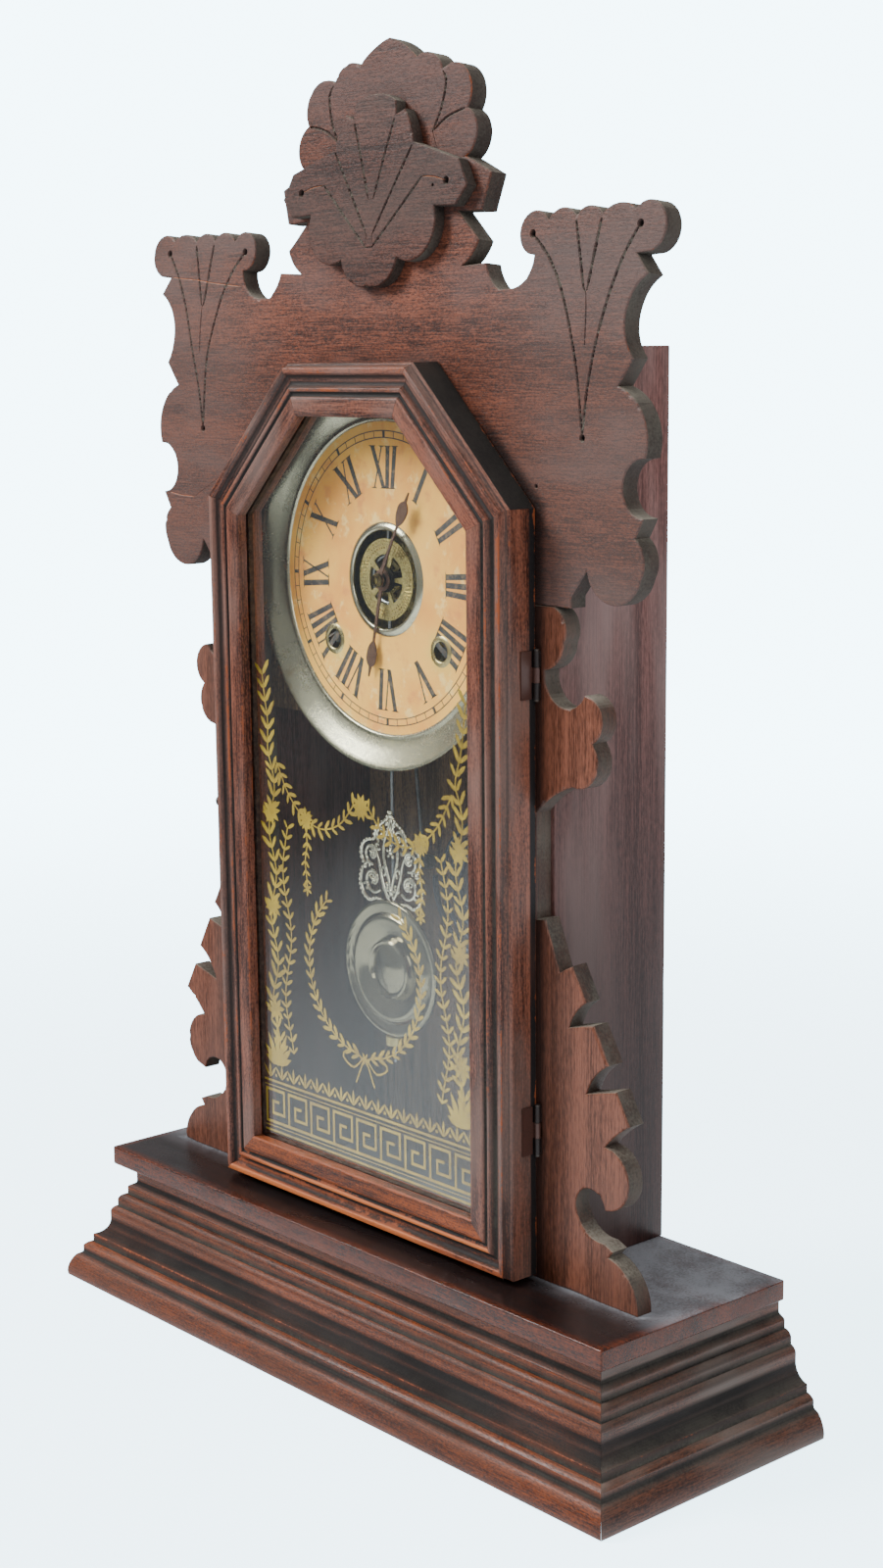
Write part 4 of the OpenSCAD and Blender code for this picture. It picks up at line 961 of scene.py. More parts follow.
def soiled(p, mark, spot, c, along):  # proud, groove and dust on a moulding; the groove mark is soot and painted shade in the hollows, and painted shade on the outer side faces
    rub = 0.5 + 0.5 * noise.noise(Vector((along * 0.02, spot * 0.3, c["seed"] * 3.3)))
    proud = max(0, mark) * (0.55 + 0.6 * rub) * c["wear"] + (c["bare"] * rub if 0.3 < p.y < 14 else 0)
    # dark bands across the section: partly grime, partly painted shade in the hollows
    stain = sum(depth * max(0, min(1, (p.y - low) / 1.5, (high - p.y) / 1.5)) for low, high, depth in c["stainAndShadeBands"])
    # painted shade on the outer side faces: a dark rear strip where the gap behind the door is in shadow, and darker
    # side faces turned from the light
    outside = p.y < 0.05 and p.x > 2.2
    aside = (c["rearShade"] if p.x > 14.2 else c["sideShade"]) if outside else 0
    uneven = 0.8 + 0.5 * noise.noise(Vector((along * 0.012, c["seed"] * 2.7, 5)))
    groove = min(1, max(0, -mark) * c["sootAndShade"] + (stain + aside) * uneven)
    return proud, groove, max(0, -mark) * c["hollowDust"] * rub


def makeMoulding(name, node, c, ends, body):  # ends gives the two places of a section point
    section, ridges, length = softened(c["section"], c["soften"])
    n = len(section)
    first, last = zip(*[ends(p) for p in section])
    run = max((b - a).length for a, b in zip(first, last))
    count = max(int(run / c["step"]), 2)
    verts, marks, faces, uvs = [], [], [], []
    for k in range(count + 1):
        t = k / count
        for i, p in enumerate(section):
            wave = (noise.noise(Vector((t * run * 0.035, c["seed"] * 7.1, length[i] * 0.02))) - 1) * c["wave"] / 2
            at = first[i].lerp(last[i], t)
            shrink = (last[i] - first[i]).normalized() * c["joint"]
            at += shrink if k == 0 else -shrink if k == count else Vector()
            a, b = around(section, i)
            moved = ends(p + Vector((b.y - a.y, a.x - b.x)).normalized() * wave)
            start, end = ends(p)
            verts.append(at + (moved[0] - start).lerp(moved[1] - end, t))
            marks.append(soiled(p, ridges[i], length[i], c, t * run))
    shift = c["seed"] * 0.37  # each piece shows another stretch of grain
    length.append(length[-1] + (section[0] - section[-1]).length)
    for k in range(count):
        faces += band(k * n, (k + 1) * n, n)
        u0, u1 = (run * q / count * mm + shift for q in (k, k + 1))
        for v0, v1 in zip(length, length[1:]):
            uvs.append([(u0, v0 * mm), (u0, v1 * mm), (u1, v1 * mm), (u1, v0 * mm)])
    for ring in (0, count):
        faces.append([ring * n + i for i in range(n)])
        uvs.append([(shift + p.x * 0.2 * mm, p.y * mm) for p in section])
    newPiece(name, (verts, faces), body, c["slot"], c["finish"], node, marks, uvs, sharp=46)


door = {"x": corner("door_stile_right", 1, "x"), "z0": corner("door_bottom_rail", 0, "z"),
        "z1": corner("door_top_rail", 1, "z"), "face": corner("door_stile_right", 0, "y"),
        "section": [[17.5, 0], [14.6, 0], [13.8, 0], [4.6, 0], [3.4, 0.9, -0.2], [0.2, 2, 0.2], [0, 2.4], [0, 4.2],
                    [1.3, 5], [2.7, 7.2, 0.5], [1.9, 9.4, 0.5], [0.6, 10.2], [0.6, 11.5], [1.8, 12.1], [1.8, 13.2],
                    [0.5, 14], [0.3, 15], [0.3, 20.8], [0.9, 21.8], [5.6, 21.8], [5.6, 18.8], [17.5, 18.8]],
        # darkening of the hollows and the bands below: soot and painted shade; the side and rear values: painted
        # shade
        "soften": 0.35, "step": 10, "wave": 0.16, "joint": 0.04, "sootAndShade": 1.4, "hollowDust": 0.16, "sideShade": 0.0,
        "rearShade": 0.5, "wear": 1.0, "bare": 0, "stainAndShadeBands": [(4.2, 6.0, 0.75), (6.4, 8.8, 0.35), (11.4, 13.6, 0.9)],
        "slot": "door_wood", "finish": "doorWood"}
# painted shade on the outer side faces of the right stile and the corners
doorChanges = {"doorStileRight": {"rearShade": 1.8, "hollowDust": 0.5},
               "doorCornerRight": {"sideShade": 1.3, "rearShade": 1.8}, "doorCornerLeft": {"sideShade": 0.6},
               "doorBottomRail": {"wear": 1.35, "bare": 1.05, "finish": "wornRailWood"}}
doorNames = (("doorStileRight", "door_stile_right"), ("doorCornerRight", "door_corner_right"),
             ("doorTopRail", "door_top_rail"), ("doorCornerLeft", "door_corner_left"),
             ("doorStileLeft", "door_stile_left"), ("doorBottomRail", "door_bottom_rail"))


def doorEnds(i):
    def ends(p):  # p is depth behind the face, distance in from the edge
        x, z1, d = door["x"] - p.y, door["z1"] - p.y, doorDiagonal - p.y * math.sqrt(2)
        right = [(x, door["z0"] + p.y), (x, d - x), (d - z1, z1)]
        spots = right + [(-a, b) for a, b in reversed(right)]
        return [Vector((spots[k % 6][0], door["face"] + p.x, spots[k % 6][1])) for k in (i, i + 1)]
    return ends


for i, (name, node) in enumerate(doorNames):
    makeMoulding(name, node, {**door, "seed": i + 1, **doorChanges.get(name, {})}, doorEnds(i), "door")

base = {"x": slab["x"], "front": slab["front"], "back": corner("base_moulding_right", 1, "y"),
        "section": [[-26, 0], [17.3, 0], [17.6, 2.3], [14.2, 10.8, 0.7], [11.7, 12.2], [11.7, 15.4], [8.1, 17.8, 0.4],
                    [8.1, 21.2], [1.8, 29.7, -1.9], [1.8, 33.1], [-0.8, 36, 0.5], [-0.8, 38.9], [-4.4, 42, 0.8],
                    [-4.4, 45.8], [-7.7, 47.7], [-7.7, 56.9], [-26, 56.9]],
        "soften": 0.7, "step": 10, "wave": 0.2, "joint": 0.05, "sootAndShade": 2.0, "hollowDust": 0.34, "sideShade": 0,
        "rearShade": 0, "wear": 1.0, "bare": 0, "slot": "base_wood", "finish": "baseWood",
        # dark bands in the cove and hollows: grime and painted shade
        "stainAndShadeBands": [(0.5, 10.0, 0.22), (19.0, 26.0, 0.85), (25.0, 30.5, 0.85), (9.6, 13.4, 0.5), (32.2, 36.2, 0.45),
                   (38.2, 41.6, 0.5), (45.0, 48.6, 0.5)]}


def baseFront(p):
    return [Vector((s * (base["x"] + p.x), base["front"] - p.x, p.y)) for s in (-1, 1)]


def baseSide(s):
    return lambda p: [Vector((s * (base["x"] + p.x), y, p.y)) for y in (base["front"] - p.x, base["back"])]


rightBase = {**base, "seed": 12, "hollowDust": 0.45, "finish": "baseSideWood"}
makeMoulding("baseFront", "base_moulding_front", {**base, "seed": 11}, baseFront, "case")
makeMoulding("baseRight", "base_moulding_right", rightBase, baseSide(1), "case")
makeMoulding("baseLeft", "base_moulding_left", {**base, "seed": 13}, baseSide(-1), "case")
print("stage: door frame and base mouldings")


# turned and flat pieces of the dial

def turnedMesh(profile, x0, z0, segments=144):  # a profile point is radius and y; radius 0 closes at the axis
    verts, faces, rows = [], [], []
    for r, y in profile:
        rows.append([len(verts) + (k if r else 0) for k in range(segments)])
        spots = [polar(x0, z0, r, 2 * math.pi * k / segments) for k in range(segments if r else 1)]
        verts += [(p.x, y, p.y) for p in spots]
    ended = profile[0][0] == 0 and profile[-1][0] == 0
    for i in range(len(rows) - ended):
        a, b = rows[i], around(rows, i)[1]
        for k in range(segments):
            quad = [a[k], a[(k + 1) % segments], b[(k + 1) % segments], b[k]]
            faces.append([v for j, v in enumerate(quad) if v != quad[j - 1]])
    return verts, faces


def flatMesh(loops, y0, y1):  # a flat plate between two depths, with holes
    flat, triangles = fillLoops(loops)
    verts, faces = [], []
    for y in (y0, y1):
        faces += [[len(verts) + i for i in t] for t in triangles]
        verts += [(x, y, z) for x, z in flat]
    for loop in loops:
        faces += band(len(verts), len(verts) + len(loop), len(loop))
        verts += [(p[0], y, p[1]) for y in (y0, y1) for p in loop]
    return verts, faces


def prismMesh(shapes, y0, y1, lift=0.0):  # thin print from convex outlines; lift keeps overlaps apart
    verts, faces = [], []
    for k, shape in enumerate(shapes):
        first, n = len(verts), len(shape)
        verts += [(p[0], y, p[1]) for y in (y0 + lift * (k * 7 % 11), y1) for p in shape]
        ends = [first + i for i in range(n)], [first + n + i for i in range(n)][::-1]
        faces += [*ends, *band(first, first + n, n)]
    return verts, faces


def circleLoop(x, z, r, count=96):
    return [polar(x, z, r, 2 * math.pi * k / count) for k in range(count)]


def joined(parts):
    verts, faces = [], []
    for v, f in parts:
        faces += [[len(verts) + i for i in face] for face in f]
        verts += v
    return verts, faces


dial = {"z": middle("dial_pan"), "paper": corner("dial_paper", 0, "y"), "paperR": corner("dial_paper", 1, "x"),
        "panR": corner("dial_pan", 1, "x"), "rim": corner("dial_pan", 0, "y"), "hole": 21.0, "windR": 4.4,
        "ink": 0.04, "inkFoot": 0.05, "inkThick": 0.09, "numeralFoot": 37.5, "numeralTop": 55.0, "narrow": 0.72,
        "stem": 2.45, "thin": 0.8, "serif": 0.5, "trackIn": 58.1, "trackOut": 60.9, "trackLine": 0.45,
        "minute": 0.36, "fiveMinutes": 1.5}


def makePan(d):
    def plate(r, grow, count, y0, y1):
        winding = [circleLoop(s * windX, windZ, d["windR"] + grow, 48) for s in (1, -1)]
        rim, hole = circleLoop(0, d["z"], r, count), d["hole"] + (1 if grow else 0)
        return flatMesh([rim, circleLoop(0, d["z"], hole), *winding], y0, y1)

    def ringed(r, y, rows):
        return [(r + dr, y + dy) for dr, dy in rows]

    f, p, inner = d["paper"] + 0.3, d["paper"], d["paperR"] - 0.4
    bead = d["paperR"] + 0.9
    edge = [(inner, f), *ringed(bead, f, [
        (-1.0, -0.5), (-0.6, -1.05), (0, -1.25), (0.5, -1.13), (1.0, -0.75), (1.5, -0.42), (2.4, -0.6), (6.5, -2.2)]),
        *ringed(d["panR"], d["rim"], [
            (-3, 0.85), (-1.6, 0.25), (-0.9, 0.02), (-0.3, 0.1), (0, 0.45), (-0.2, 0.9), (-1.2, 0.75)]),
        *ringed(bead, f, [(6.7, -1.6), (3.0, 0), (1.5, 0.5)]), (inner, f + 0.5)]
    pan = joined([turnedMesh(edge, 0, d["z"], 200), plate(inner, 0, 144, f, f + 0.5)])
    newPiece("dialPan", pan, "case", "dial_tin", "panNickel", "dial_pan")
    newPiece("dialPaper", plate(d["paperR"], 0.2, 200, p, p + 0.28), "case", "paper", "agedPaper", "dial_paper")
    ring = ringed(d["hole"], p, [(-0.6, 0.3), (-0.6, -0.5), (-0.35, -1.0), (0.1, -1.25), (0.6, -1.3), (1.2, -1.1),
                                 (2.1, -0.7), (2.8, -0.12), (2.9, 0), (1, 0), (1, 0.3)])
    newPiece("centreRing", turnedMesh(ring, 0, d["z"]), "case", "dial_tin", "ringTin", "dial_rings")
    grommet = ringed(d["windR"], p, [(-0.2, 0.3), (-0.2, -0.2), (0, -0.38), (0.5, -0.45), (1.3, -0.36), (2.1, 0),
                                     (0.1, 0), (0.1, 0.3)])
    newPiece("windingGrommets", joined([turnedMesh(grommet, s * windX, windZ, 64) for s in (1, -1)]),
             "case", "dial_tin", "grommetBrass")


def glyph(letter, c):  # strokes of one roman numeral letter as outlines, and its width
    foot, top = c["numeralFoot"], c["numeralTop"]
    thick, thin = c["stem"] / 2, c["thin"] / 2

    def stroke(x0, x1, half):
        return [(x0 - half, foot), (x0 + half, foot), (x1 + half, top), (x1 - half, top)]

    def serif(x, half, up):
        z, tip = (foot if up > 0 else top), half * 0.55
        return [(x - half, z), (x + half, z), (x + tip, z + c["serif"] * up), (x - tip, z + c["serif"] * up)]

    if letter == "I":
        return [stroke(0, 0, thick), serif(0, 2.3, 1), serif(0, 2.3, -1)], 4.5
    if letter == "V":
        return [stroke(0.3, -2.9, thick), stroke(0.3, 3.3, thin), serif(-2.9, 2.4, -1), serif(3.3, 1.7, -1)], 9.2
    return [stroke(3.0, -3.0, thick), stroke(-3.1, 3.1, thin), serif(-3.0, 2.4, -1), serif(3.1, 1.8, -1),
            serif(3.0, 2.4, 1), serif(-3.1, 1.8, 1)], 9.4


def makeNumerals(c):
    shapes = []
    for hour, word in enumerate(("XII", "I", "II", "III", "IIII", "V", "VI", "VII", "VIII", "IX", "X", "XI")):
        letters = [glyph(w, c) for w in word]
        at = -sum(w for _, w in letters) / 2
        a = math.radians(hour * 30)
        for outlines, width in letters:
            centre = at + width / 2
            at += width
            for outline in outlines:
                spots = []
                for x, r in outline:  # narrower towards the foot
                    share = (r - c["numeralFoot"]) / (c["numeralTop"] - c["numeralFoot"])
                    fan = c["narrow"] + (1 - c["narrow"]) * share
                    aside = centre * fan + x * (0.9 + 0.1 * fan)
                    x, z = aside * math.cos(a) + r * math.sin(a), r * math.cos(a) - aside * math.sin(a)
                    spots.append((x, c["z"] + z))
                shapes.append(spots)
    y0, y1, line = c["paper"] - c["ink"], c["paper"] + c["inkFoot"], c["trackLine"]
    rings = [turnedMesh([(r, y0), (r + line, y0), (r + line, y1), (r, y1)], 0, c["z"], 180)
             for r in (c["trackIn"], c["trackOut"])]
    newPiece("dialNumerals", joined([prismMesh(shapes, y0, y1)] + rings), "case", "paper", "dialInk")


# geometry nodes: blocks round a circle, leaves along a path

def finishTree(g, given, geometry):
    real = g.add("GeometryNodeRealizeInstances", {0: geometry})
    painted = g.add("GeometryNodeSetMaterial", {"Geometry": real, "Material": given["Material"]})
    g.fill(g.result, {0: painted})
    return g


def makeBlocksTree():  # Count blocks round a circle in the XY plane
    g, given = newTree("GeometryNodeTree", "blocksOnCircle", {
        "Geometry": "Geometry", "Radius": "Float", "Count": "Int", "Length": "Float", "Width": "Float",
        "Thickness": "Float", "Material": "Material"}, {"Geometry": "Geometry"})
    ring = g.add("GeometryNodeMeshCircle", {"Vertices": given["Count"], "Radius": given["Radius"]}, "Mesh")
    cube = g.add("GeometryNodeMeshCube", {"Size": g.xyz(given["Length"], given["Width"], given["Thickness"])}, "Mesh")
    turn = g.math("DIVIDE", g.add("GeometryNodeInputIndex") * (2 * math.pi), given["Count"])
    return finishTree(g, given, g.add("GeometryNodeInstanceOnPoints", {
        "Points": ring, "Instance": cube, "Rotation": g.xyz(0.0, 0.0, turn)}))


def makeLeavesTree():  # pairs of pointed leaves along curves in the XY plane
    g, given = newTree("GeometryNodeTree", "leavesOnPath", {
        "Geometry": "Geometry", "Spacing": "Float", "Length": "Float", "Width": "Float", "Thickness": "Float",
        "Lean": "Float", "Ragged": "Float", "Seed": "Int", "Material": "Material"}, {"Geometry": "Geometry"})
    path = g.add("GeometryNodeResampleCurve", {"Curve": given["Geometry"], "Length": given["Spacing"]}, mode="LENGTH")
    kept = g.add("GeometryNodeStoreNamedAttribute", {
        "Geometry": path, "Name": "way", "Value": g.add("GeometryNodeInputTangent")}, data_type="FLOAT_VECTOR")
    points = g.add("GeometryNodeCurveToPoints", {"Curve": kept}, mode="EVALUATED")
    disc = g.add("GeometryNodeMeshCylinder", {"Vertices": 6, "Radius": 1, "Depth": given["Thickness"]}, "Mesh")
    half = given["Length"] * 0.5
    leaf = g.add("GeometryNodeTransform", {"Geometry": disc, "Translation": g.xyz(half, 0.0, 0.0),
                                           "Scale": g.xyz(half, given["Width"] * 0.5, 1.0)})
    way = g.add("GeometryNodeInputNamedAttribute", {"Name": "way"}, "Attribute", data_type="FLOAT_VECTOR")
    x, y, _ = g.parts(way)
    angle = g.math("ARCTAN2", y, x)
    both = g.add("GeometryNodeJoinGeometry")
    for s in (1, -1):
        uneven = g.add("FunctionNodeRandomValue", {"Seed": given["Seed"] + (7 + s)}, 1, data_type="FLOAT")
        size = 1.0 - uneven * given["Ragged"]
        g.put(both.socket.node.inputs[0], g.add("GeometryNodeInstanceOnPoints", {
            "Points": points, "Instance": leaf, "Rotation": g.xyz(0.0, 0.0, angle + given["Lean"] * s),
            "Scale": g.xyz(size, size, 1.0)}))
    return finishTree(g, given, both)


def runTree(data, graph, values):  # a plain mesh from a tree; the helper object goes away
    helper = shown("treeHelper", data)
    mod = helper.modifiers.new("shape", "NODES")
    mod.node_group = graph.tree
    for label, v in values.items():
        mod[graph.keys[label]] = v
    mesh = bpy.data.meshes.new_from_object(helper.evaluated_get(bpy.context.evaluated_depsgraph_get()))
    bpy.data.objects.remove(helper)
    return mesh


def upright(mesh, y, z=0):  # an XY mesh stood up in the XZ plane
    return ([(v.co.x / mm, y + v.co.z / mm, z + v.co.y / mm) for v in mesh.vertices],
            [list(p.vertices) for p in mesh.polygons])


blocksTree, leavesTree = makeBlocksTree(), makeLeavesTree()


def blocks(radius, count, length, width, thick, look, y):
    mesh = runTree(bpy.data.meshes.new("start"), blocksTree, {
        "Radius": radius * mm, "Count": count, "Length": length * mm, "Width": width * mm, "Thickness": thick * mm,
        "Material": finish[look]})
    return upright(mesh, y, dial["z"])


def makeMinutes(c):
    track = (c["trackIn"] + c["trackOut"] + c["minute"]) / 2
    rows = [blocks(track, count, c["trackOut"] - c["trackIn"], width, c["inkThick"], "dialInk", c["paper"])
            for count, width in ((60, c["minute"]), (12, c["fiveMinutes"]))]
    newPiece("dialMinutes", joined(rows), "case", "paper", "dialInk")


makePan(dial)
makeNumerals(dial)
makeMinutes(dial)
print("stage: dial")


# brass disc, bob, ornament

disc = {"face": corner("bob_ornament", 0, "y") - 0.08, "rings": (13.2, 14.6, 16.0), "dots": (54, 60, 66), "dot": 0.7,
        "proud": 0.3}
bob = {"z": middle("pendulum_bob"), "r": corner("pendulum_bob", 1, "x"), "front": corner("pendulum_bob", 0, "y"),
       "rear": 6.4, "rim": [(-6, 6.0), (-0.6, 3.6), (0, 3.0), (0, 2.4), (-0.2, 2.0), (-0.8, 1.6), (-1.8, 1.5),
                            (-3.4, 2.1), (-5.2, 2.3), (-6.4, 1.3), (-7.2, 0.7), (-8.2, 0.55), (-9.6, 0.75),
                            (-12, 1.35), (-14.5, 2.25), (-16.2, 3.0)],
       "boss": [(13.3, 2.2), (12.8, 0.9), (12.0, 0.45), (11.2, 0.6), (10.4, 1.7), (8.5, 1.35), (5, 0.55), (2, 0.1),
                (0, 0)]}


def makeStipple(c):
    rows = [blocks(r, count, c["dot"], c["dot"], c["proud"], "grommetBrass", c["face"])
            for r, count in zip(c["rings"], c["dots"])]
    newPiece("discStipple", joined(rows), "hour", "wheel_brass", "grommetBrass")


def makeBob(c):
    profile = [(0, c["rear"])] + [(c["r"] + dr, dy) for dr, dy in c["rim"]] + c["boss"]
    bobMesh = turnedMesh([(r, c["front"] + dy) for r, dy in profile], 0, c["z"], 160)
    newPiece("pendulumBob", bobMesh, "pendulum", "nickel", "bobNickel", "pendulum_bob")


def tubeMesh(points, widths, tall, y, sides=8):  # a raised strand in the XZ plane
    verts, faces = [], []
    for i, p in enumerate(points):
        aside = across(wayAt(points, i))
        for k in range(sides):
            a = 2 * math.pi * k / sides
            q = p + aside * widths[i] * math.cos(a)
            verts.append((q.x, y - tall * min(1, widths[i]) * math.sin(a), q.y))
    for i in range(len(points) - 1):
        faces += band(i * sides, (i + 1) * sides, sides)
    faces += [list(range(sides)), [(len(points) - 1) * sides + k for k in range(sides)]]
    return verts, faces


def curl(x, z, r0, r1, a0, a1, steps=22):  # a spiral from radius r0 to r1 between two angles in degrees
    shares = [k / steps for k in range(steps + 1)]
    return [polar(x, z, r0 + (r1 - r0) * q, math.radians(a0 + (a1 - a0) * q)) for q in shares]


ornament = {
    "y": corner("bob_ornament", 0, "y") + 0.25, "foot": bob["z"] + bob["r"], "tall": 0.75, "strand": 0.78,
    "strands": [curl(11.5, 7.5, 6.0, 1.1, -140, 330), curl(12.2, 18.8, 4.9, 1.0, -100, 380),
                curl(5.4, 27.6, 3.9, 0.9, -60, 380), ((1.2, -0.6), (4, 4), (6.4, 10.5), (7.4, 15), (9.5, 20.5)),
                ((0, 2), (1.2, 8), (3.4, 14), (4.6, 19.5), (4, 25), (1.6, 30.5), (0, 36.8)),
                ((3, -1.5), (9.5, -0.6), (14.4, -1.8), (18.6, 1), (20.2, 6.4), (18.6, 11.6), (16.5, 13)),
                ((16.2, 13), (19.2, 16.8), (18.7, 21.6), (15, 24.4), (10.6, 25.2)),
                ((10.4, 25.4), (9.4, 29.4), (6.4, 32.4), (2.4, 34.8), (0.2, 38.2)),
                curl(11.6, 7.4, 3.2, 0.5, 20, 260), curl(12.2, 19, 2.4, 0.5, 60, 300),
                curl(5.0, 12.4, 2.3, 0.5, 260, -60), curl(4.4, 5.2, 2.2, 0.5, 120, 420),
                curl(16.4, 3.6, 2.0, 0.5, 30, 330), curl(8.2, 22.8, 2.0, 0.5, -150, 170),
                curl(14.8, 13.2, 2.0, 0.5, -40, 260), curl(3.0, 33.0, 1.5, 0.4, 0, 330)],
    "strandStep": 0.7, "pearled": (5, 6, 7), "pearlStep": 2.1, "pearl": 0.8, "stagger": 0.05,
    "beads": [(5.4, 27.6, 1.1), (17.2, 12.6, 1.2)], "top": (0, 37, 1.4),
    "florets": ((0, 3.5, 3.6), (0, 21, 3.2), (0, 30, 2.6), (11.6, 7.4, 2.6), (12.2, 19, 2.3)),
    "petal": ((0.25, 0.1), (0.5, 0.2), (0.75, 0.24), (1.0, 0.08))}


def makeOrnament(c):
    def bead(x, z, r):
        profile = [(0, 0.4), (r, 0.3), (r * 0.92, -0.25), (r * 0.6, -0.6), (0, -0.75)]
        return turnedMesh([(q, c["y"] + dy) for q, dy in profile], x, z + c["foot"], 12)

    parts = []
    for s in (1, -1):
        for i, path in enumerate(c["strands"]):
            pts = spaced(path, c["strandStep"])
            n = len(pts) - 1
            full = [math.sin(math.pi * min(1, 0.12 + k / n * 0.88)) ** 0.6 for k in range(n + 1)]
            spots = [Vector((s * p.x, p.y + c["foot"])) for p in pts]
            widths = [c["strand"] * (0.35 + 0.65 * q) for q in full]
            parts.append(tubeMesh(spots, widths, c["tall"], c["y"] + c["stagger"] * (i % 3)))
        stems = [p for k in c["pearled"] for p in spaced(c["strands"][k], c["pearlStep"])]
        pearls = [(p.x + 0.5, p.y, c["pearl"]) for p in stems]
        parts += [bead(s * x, z, r) for x, z, r in pearls + c["beads"]]
        for x, z, r in c["florets"]:
            parts.append(bead(s * x, z, r * 0.4))
            for k in range(5):
                way, centre = polar(0, 0, 1, math.radians(90 + 72 * k)), Vector((s * x, z + c["foot"]))
                parts.append(tubeMesh([centre + way * r * q for q, _ in c["petal"]], [r * q for _, q in c["petal"]],
                                      c["tall"], c["y"] + 0.1))
    parts.append(bead(*c["top"]))
    newPiece("bobOrnament", joined(parts), "pendulum", "nickel", "castNickel", "bob_ornament")


makeStipple(disc)
makeBob(bob)
makeOrnament(ornament)
print("stage: disc and pendulum")


# gold print on the back of the glass: a plain generic design

tablet = {"back": corner("door_glass", 1, "y") + 0.01, "thick": 0.04, "lift": 0.002, "halfWidth": 72.0,
          "bandLow": 92.5, "bandHigh": 116.0, "bandLines": ((0, 1.1), (2.2, 0.45)), "keyUnit": 16.0, "keyStroke": 1.3,
          "key": [(0, 0), (0, 1), (0.78, 1), (0.78, 0.28), (0.28, 0.28), (0.28, 0.64), (0.52, 0.64)],
          "keyMargin": 4.2, "keyLeft": -6.2, "frond": 8.4, "columnX": 61.5, "columnLow": 124.0, "columnHigh": 300.0,
          "columnRosettes": ((150, 6.5), (197, 6.0), (240, 6.5)), "plume": (90, 66, 114, 44, 136, 24, 156),
          "swag": [(57, 262), (49, 249), (38, 240), (26, 237), (14, 241), (5, 250)],
          "drop": [(38, 238), (37, 229), (38.5, 221), (37.5, 213)], "wreathZ": 178.0, "wreathR": 37.0,
          "bow": [(1.5, -1), (8, -6), (15, -2), (9, 1.5), (1.5, -1)], "tail": [(1, -1.5), (6, -12)],
          "vein": 0.75, "veinStep": 1.5, "ragged": 0.3}


def strip(a, b, w):  # a straight stroke with square ends
    a, b = Vector(a), Vector(b)
    way = (b - a).normalized()
    side = across(way) * w / 2
    a, b = a - way * w / 2, b + way * w / 2
    return [a + side, a - side, b - side, b + side]


def petal(x, z, length, width, degrees):
    way, o = polar(0, 0, 1, math.radians(degrees)), Vector((x, z))
    side = across(way) * width / 2
    return [o, o + way * length * 0.3 - side * 0.85, o + way * length * 0.62 - side, o + way * length,
            o + way * length * 0.62 + side, o + way * length * 0.3 + side * 0.85]


def rosette(x, z, r, count, turn):
    petals = [petal(x, z, r, r * 0.36, turn + 360 * k / count) for k in range(count)]
    return petals + [circleLoop(x, z, r * 0.24, 12)]


def strokes(path, w):
    return [strip(a, b, w) for a, b in zip(path, path[1:])]


def keyBand(c):  # a band of keys between lines, with leaves along its top
    h, low, high = c["halfWidth"] - 1, c["bandLow"], c["bandHigh"]
    heights = [(low + d, w) for d, w in c["bandLines"]] + [(high - d, w) for d, w in reversed(c["bandLines"])]
    shapes = [strip((-h, z), (h, z), w) for z, w in heights]
    foot, tall, unit, left = low + c["keyMargin"], high - low - 2 * c["keyMargin"], c["keyUnit"], c["keyLeft"]
    for k in range(-4, 5):
        shapes += strokes([(k * unit + left + x * unit, foot + z * tall) for x, z in c["key"]], c["keyStroke"])
    shapes.append(strip((-4 * unit + left, foot), (4 * unit + 6.4, foot), c["keyStroke"]))
    for k in range(-8, 9):
        shapes += [petal(k * c["frond"], high + 1.4, 7.2, 1.5, a) for a in (90, 52, 128)]
        shapes.append(circleLoop(k * c["frond"] + 4.2, high + 3.0, 0.8, 10))
    return shapes


def halfPrint(c, s):  # the shapes of one half, and its leafy paths with spacing, length, width and lean
    x0, wreathZ, wreathR, low = s * c["columnX"], c["wreathZ"], c["wreathR"], c["wreathZ"] - c["wreathR"]
    stem = [(x0 + 2.2 * math.sin((z - c["columnLow"]) * 0.16), z) for z in range(int(c["columnLow"]), 272, 6)]
    stem += [(x0 + s * 1.5, 280), (x0 + s * 3.2, 290), (x0 + s * 4.5, c["columnHigh"])]
    inner = [(x0 - s * 9.5 - s * 2.5 * math.sin(z * 0.11), z) for z in range(132, 240, 6)]
    wreath = [(wreathR * math.sin(math.radians(a)) * s, wreathZ - wreathR * math.cos(math.radians(a)))
              for a in range(6, 150, 12)]
    swag, drop = ([(s * x, z) for x, z in c[key]] for key in ("swag", "drop"))
    bow, tail = ([(s * x, low + dz) for x, dz in c[key]] for key in ("bow", "tail"))
    shapes = [q for z, r in c["columnRosettes"] for q in rosette(x0 + s * 0.5, z, r, 8, 10)]
    shapes += [petal(x0, c["bandHigh"] + 8, 19 - 1.6 * k, 3.0, a) for k, a in enumerate(c["plume"])]
    shapes += rosette(s * 38, 240, 5.4, 8, 0) + rosette(s * 37.5, 209, 3.6, 6, 30)
    shapes += strokes(spaced(bow, 2.0), 0.9) + strokes(tail, 0.9)
    return shapes, [(stem, 6.0, 8.8, 2.5, 0.7), (inner, 5.0, 5.8, 1.8, 0.85), (swag, 4.6, 6.6, 2.1, 0.8),
                    (drop, 4.0, 4.8, 1.7, 0.8), (wreath, 4.8, 6.8, 2.1, 0.6)]


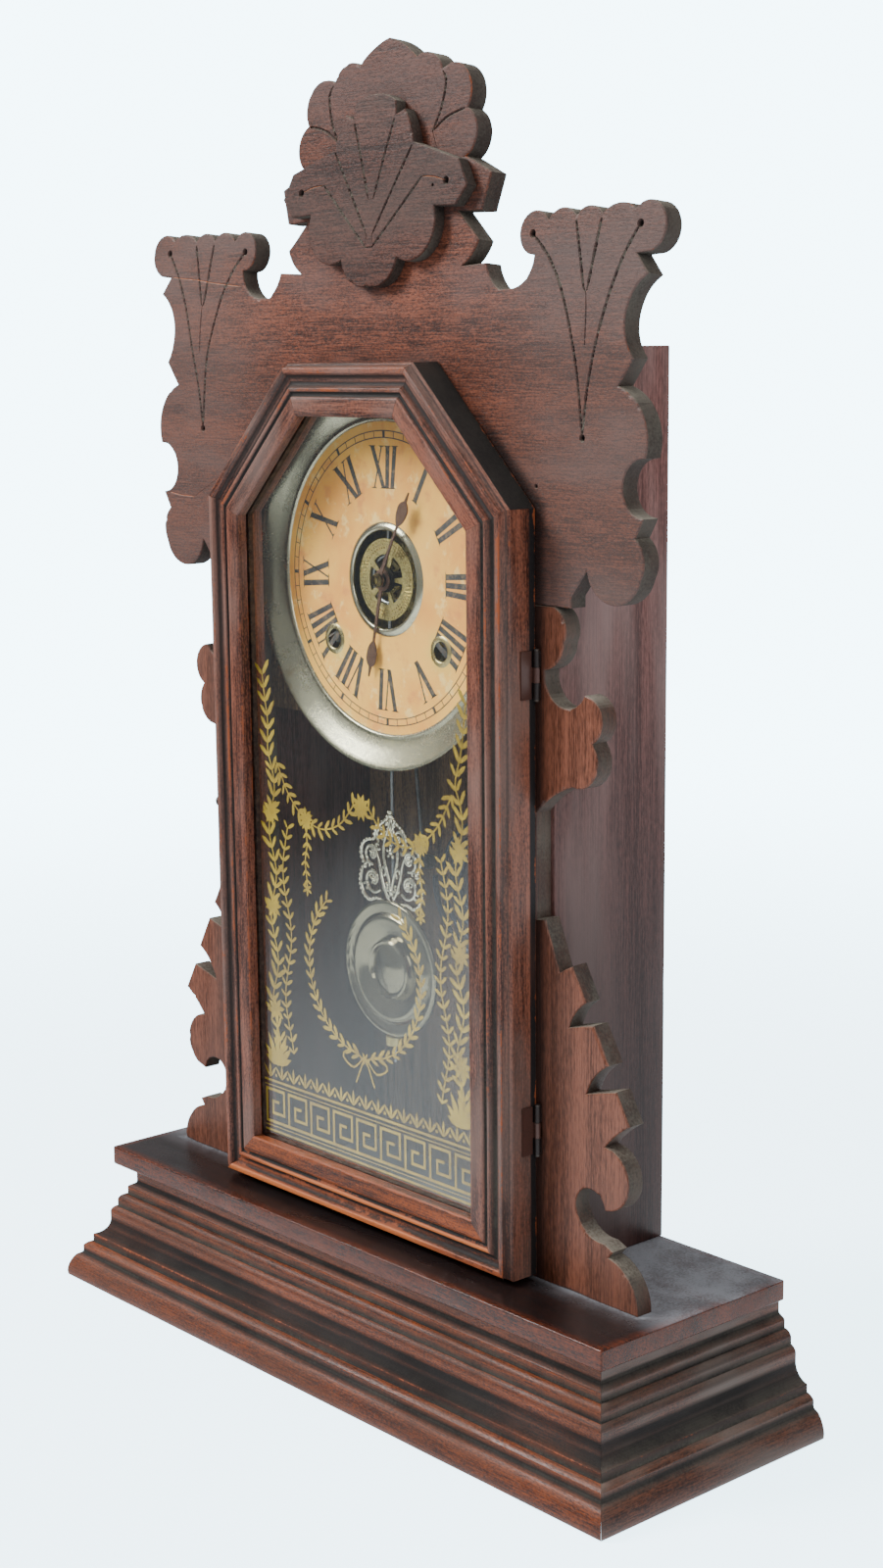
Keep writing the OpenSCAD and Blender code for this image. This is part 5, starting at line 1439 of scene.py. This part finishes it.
def makeTablet(c):
    shapes, paths = keyBand(c), []
    for s in (1, -1):
        more, leafy = halfPrint(c, s)
        shapes += more
        paths += leafy
    shapes += rosette(0, 250, 6.2, 10, 0) + rosette(0, c["wreathZ"] - c["wreathR"] - 1, 3.4, 6, 0)
    leaves = []
    for i, (path, spacing, length, width, lean) in enumerate(paths):
        pts = spaced(path, c["veinStep"])
        shapes += strokes(pts, c["vein"])
        curve = bpy.data.curves.new("leafPath", "CURVE")
        curve.dimensions = "3D"
        line = curve.splines.new("POLY")
        line.points.add(len(pts) - 1)
        line.points.foreach_set("co", [q for p in pts for q in (p.x * mm, p.y * mm, 0, 1)])
        mesh = runTree(curve, leavesTree, {
            "Spacing": spacing * mm, "Length": length * mm, "Width": width * mm, "Thickness": c["thick"] * mm,
            "Lean": lean, "Ragged": c["ragged"], "Seed": i, "Material": finish["goldPrint"]})
        leaves.append(upright(mesh, c["back"] + c["thick"] / 2 + c["lift"] * (0.5 + i % 9)))
    flat = prismMesh(shapes, c["back"], c["back"] + c["thick"], c["lift"])
    newPiece("tabletPrint", joined([flat] + leaves), "door", "glass", "goldPrint")


makeTablet(tablet)
print("stage: tablet print")


# finishes of the nodes that stay

kept = {"bareWood": ["dial_cleats"], "oldGlass": ["door_glass"], "dryPutty": ["glass_putty"],
        "stainedIron": ["hinge_case_leaves"], "varnishedIron": ["hinge_door_leaves"], "hubBrass": ["hand_nut"],
        "darkIron": ["door_knob", "hinge_pins", "gong_stand"], "plateBrass": ["front_plate", "back_plate"],
        "blueSteel": ["mainsprings", "gong"], "brownSteel": ["hour_hand", "minute_hand"],
        "stippledBrass": ["hour_pipe"],
        "dullSteel": ["dial_feet", "plate_pillars", "pillar_nuts", "movement_feet", "feet_screws", "verge",
                      "time_winding_arbor", "strike_winding_arbor", "pendulum_rod", "hammer"],
        "oldBrass": ["time_great_wheel", "time_second_wheel", "centre_arbor", "time_third_wheel", "escape_wheel",
                     "suspension_post", "rating_nut", "motion_wheel", "strike_great_wheel", "strike_second_wheel"]}
for look, names in kept.items():
    for node in names:
        for place in nodes[node].material_slots:
            place.material = finish[look]
print("stage: kept nodes")
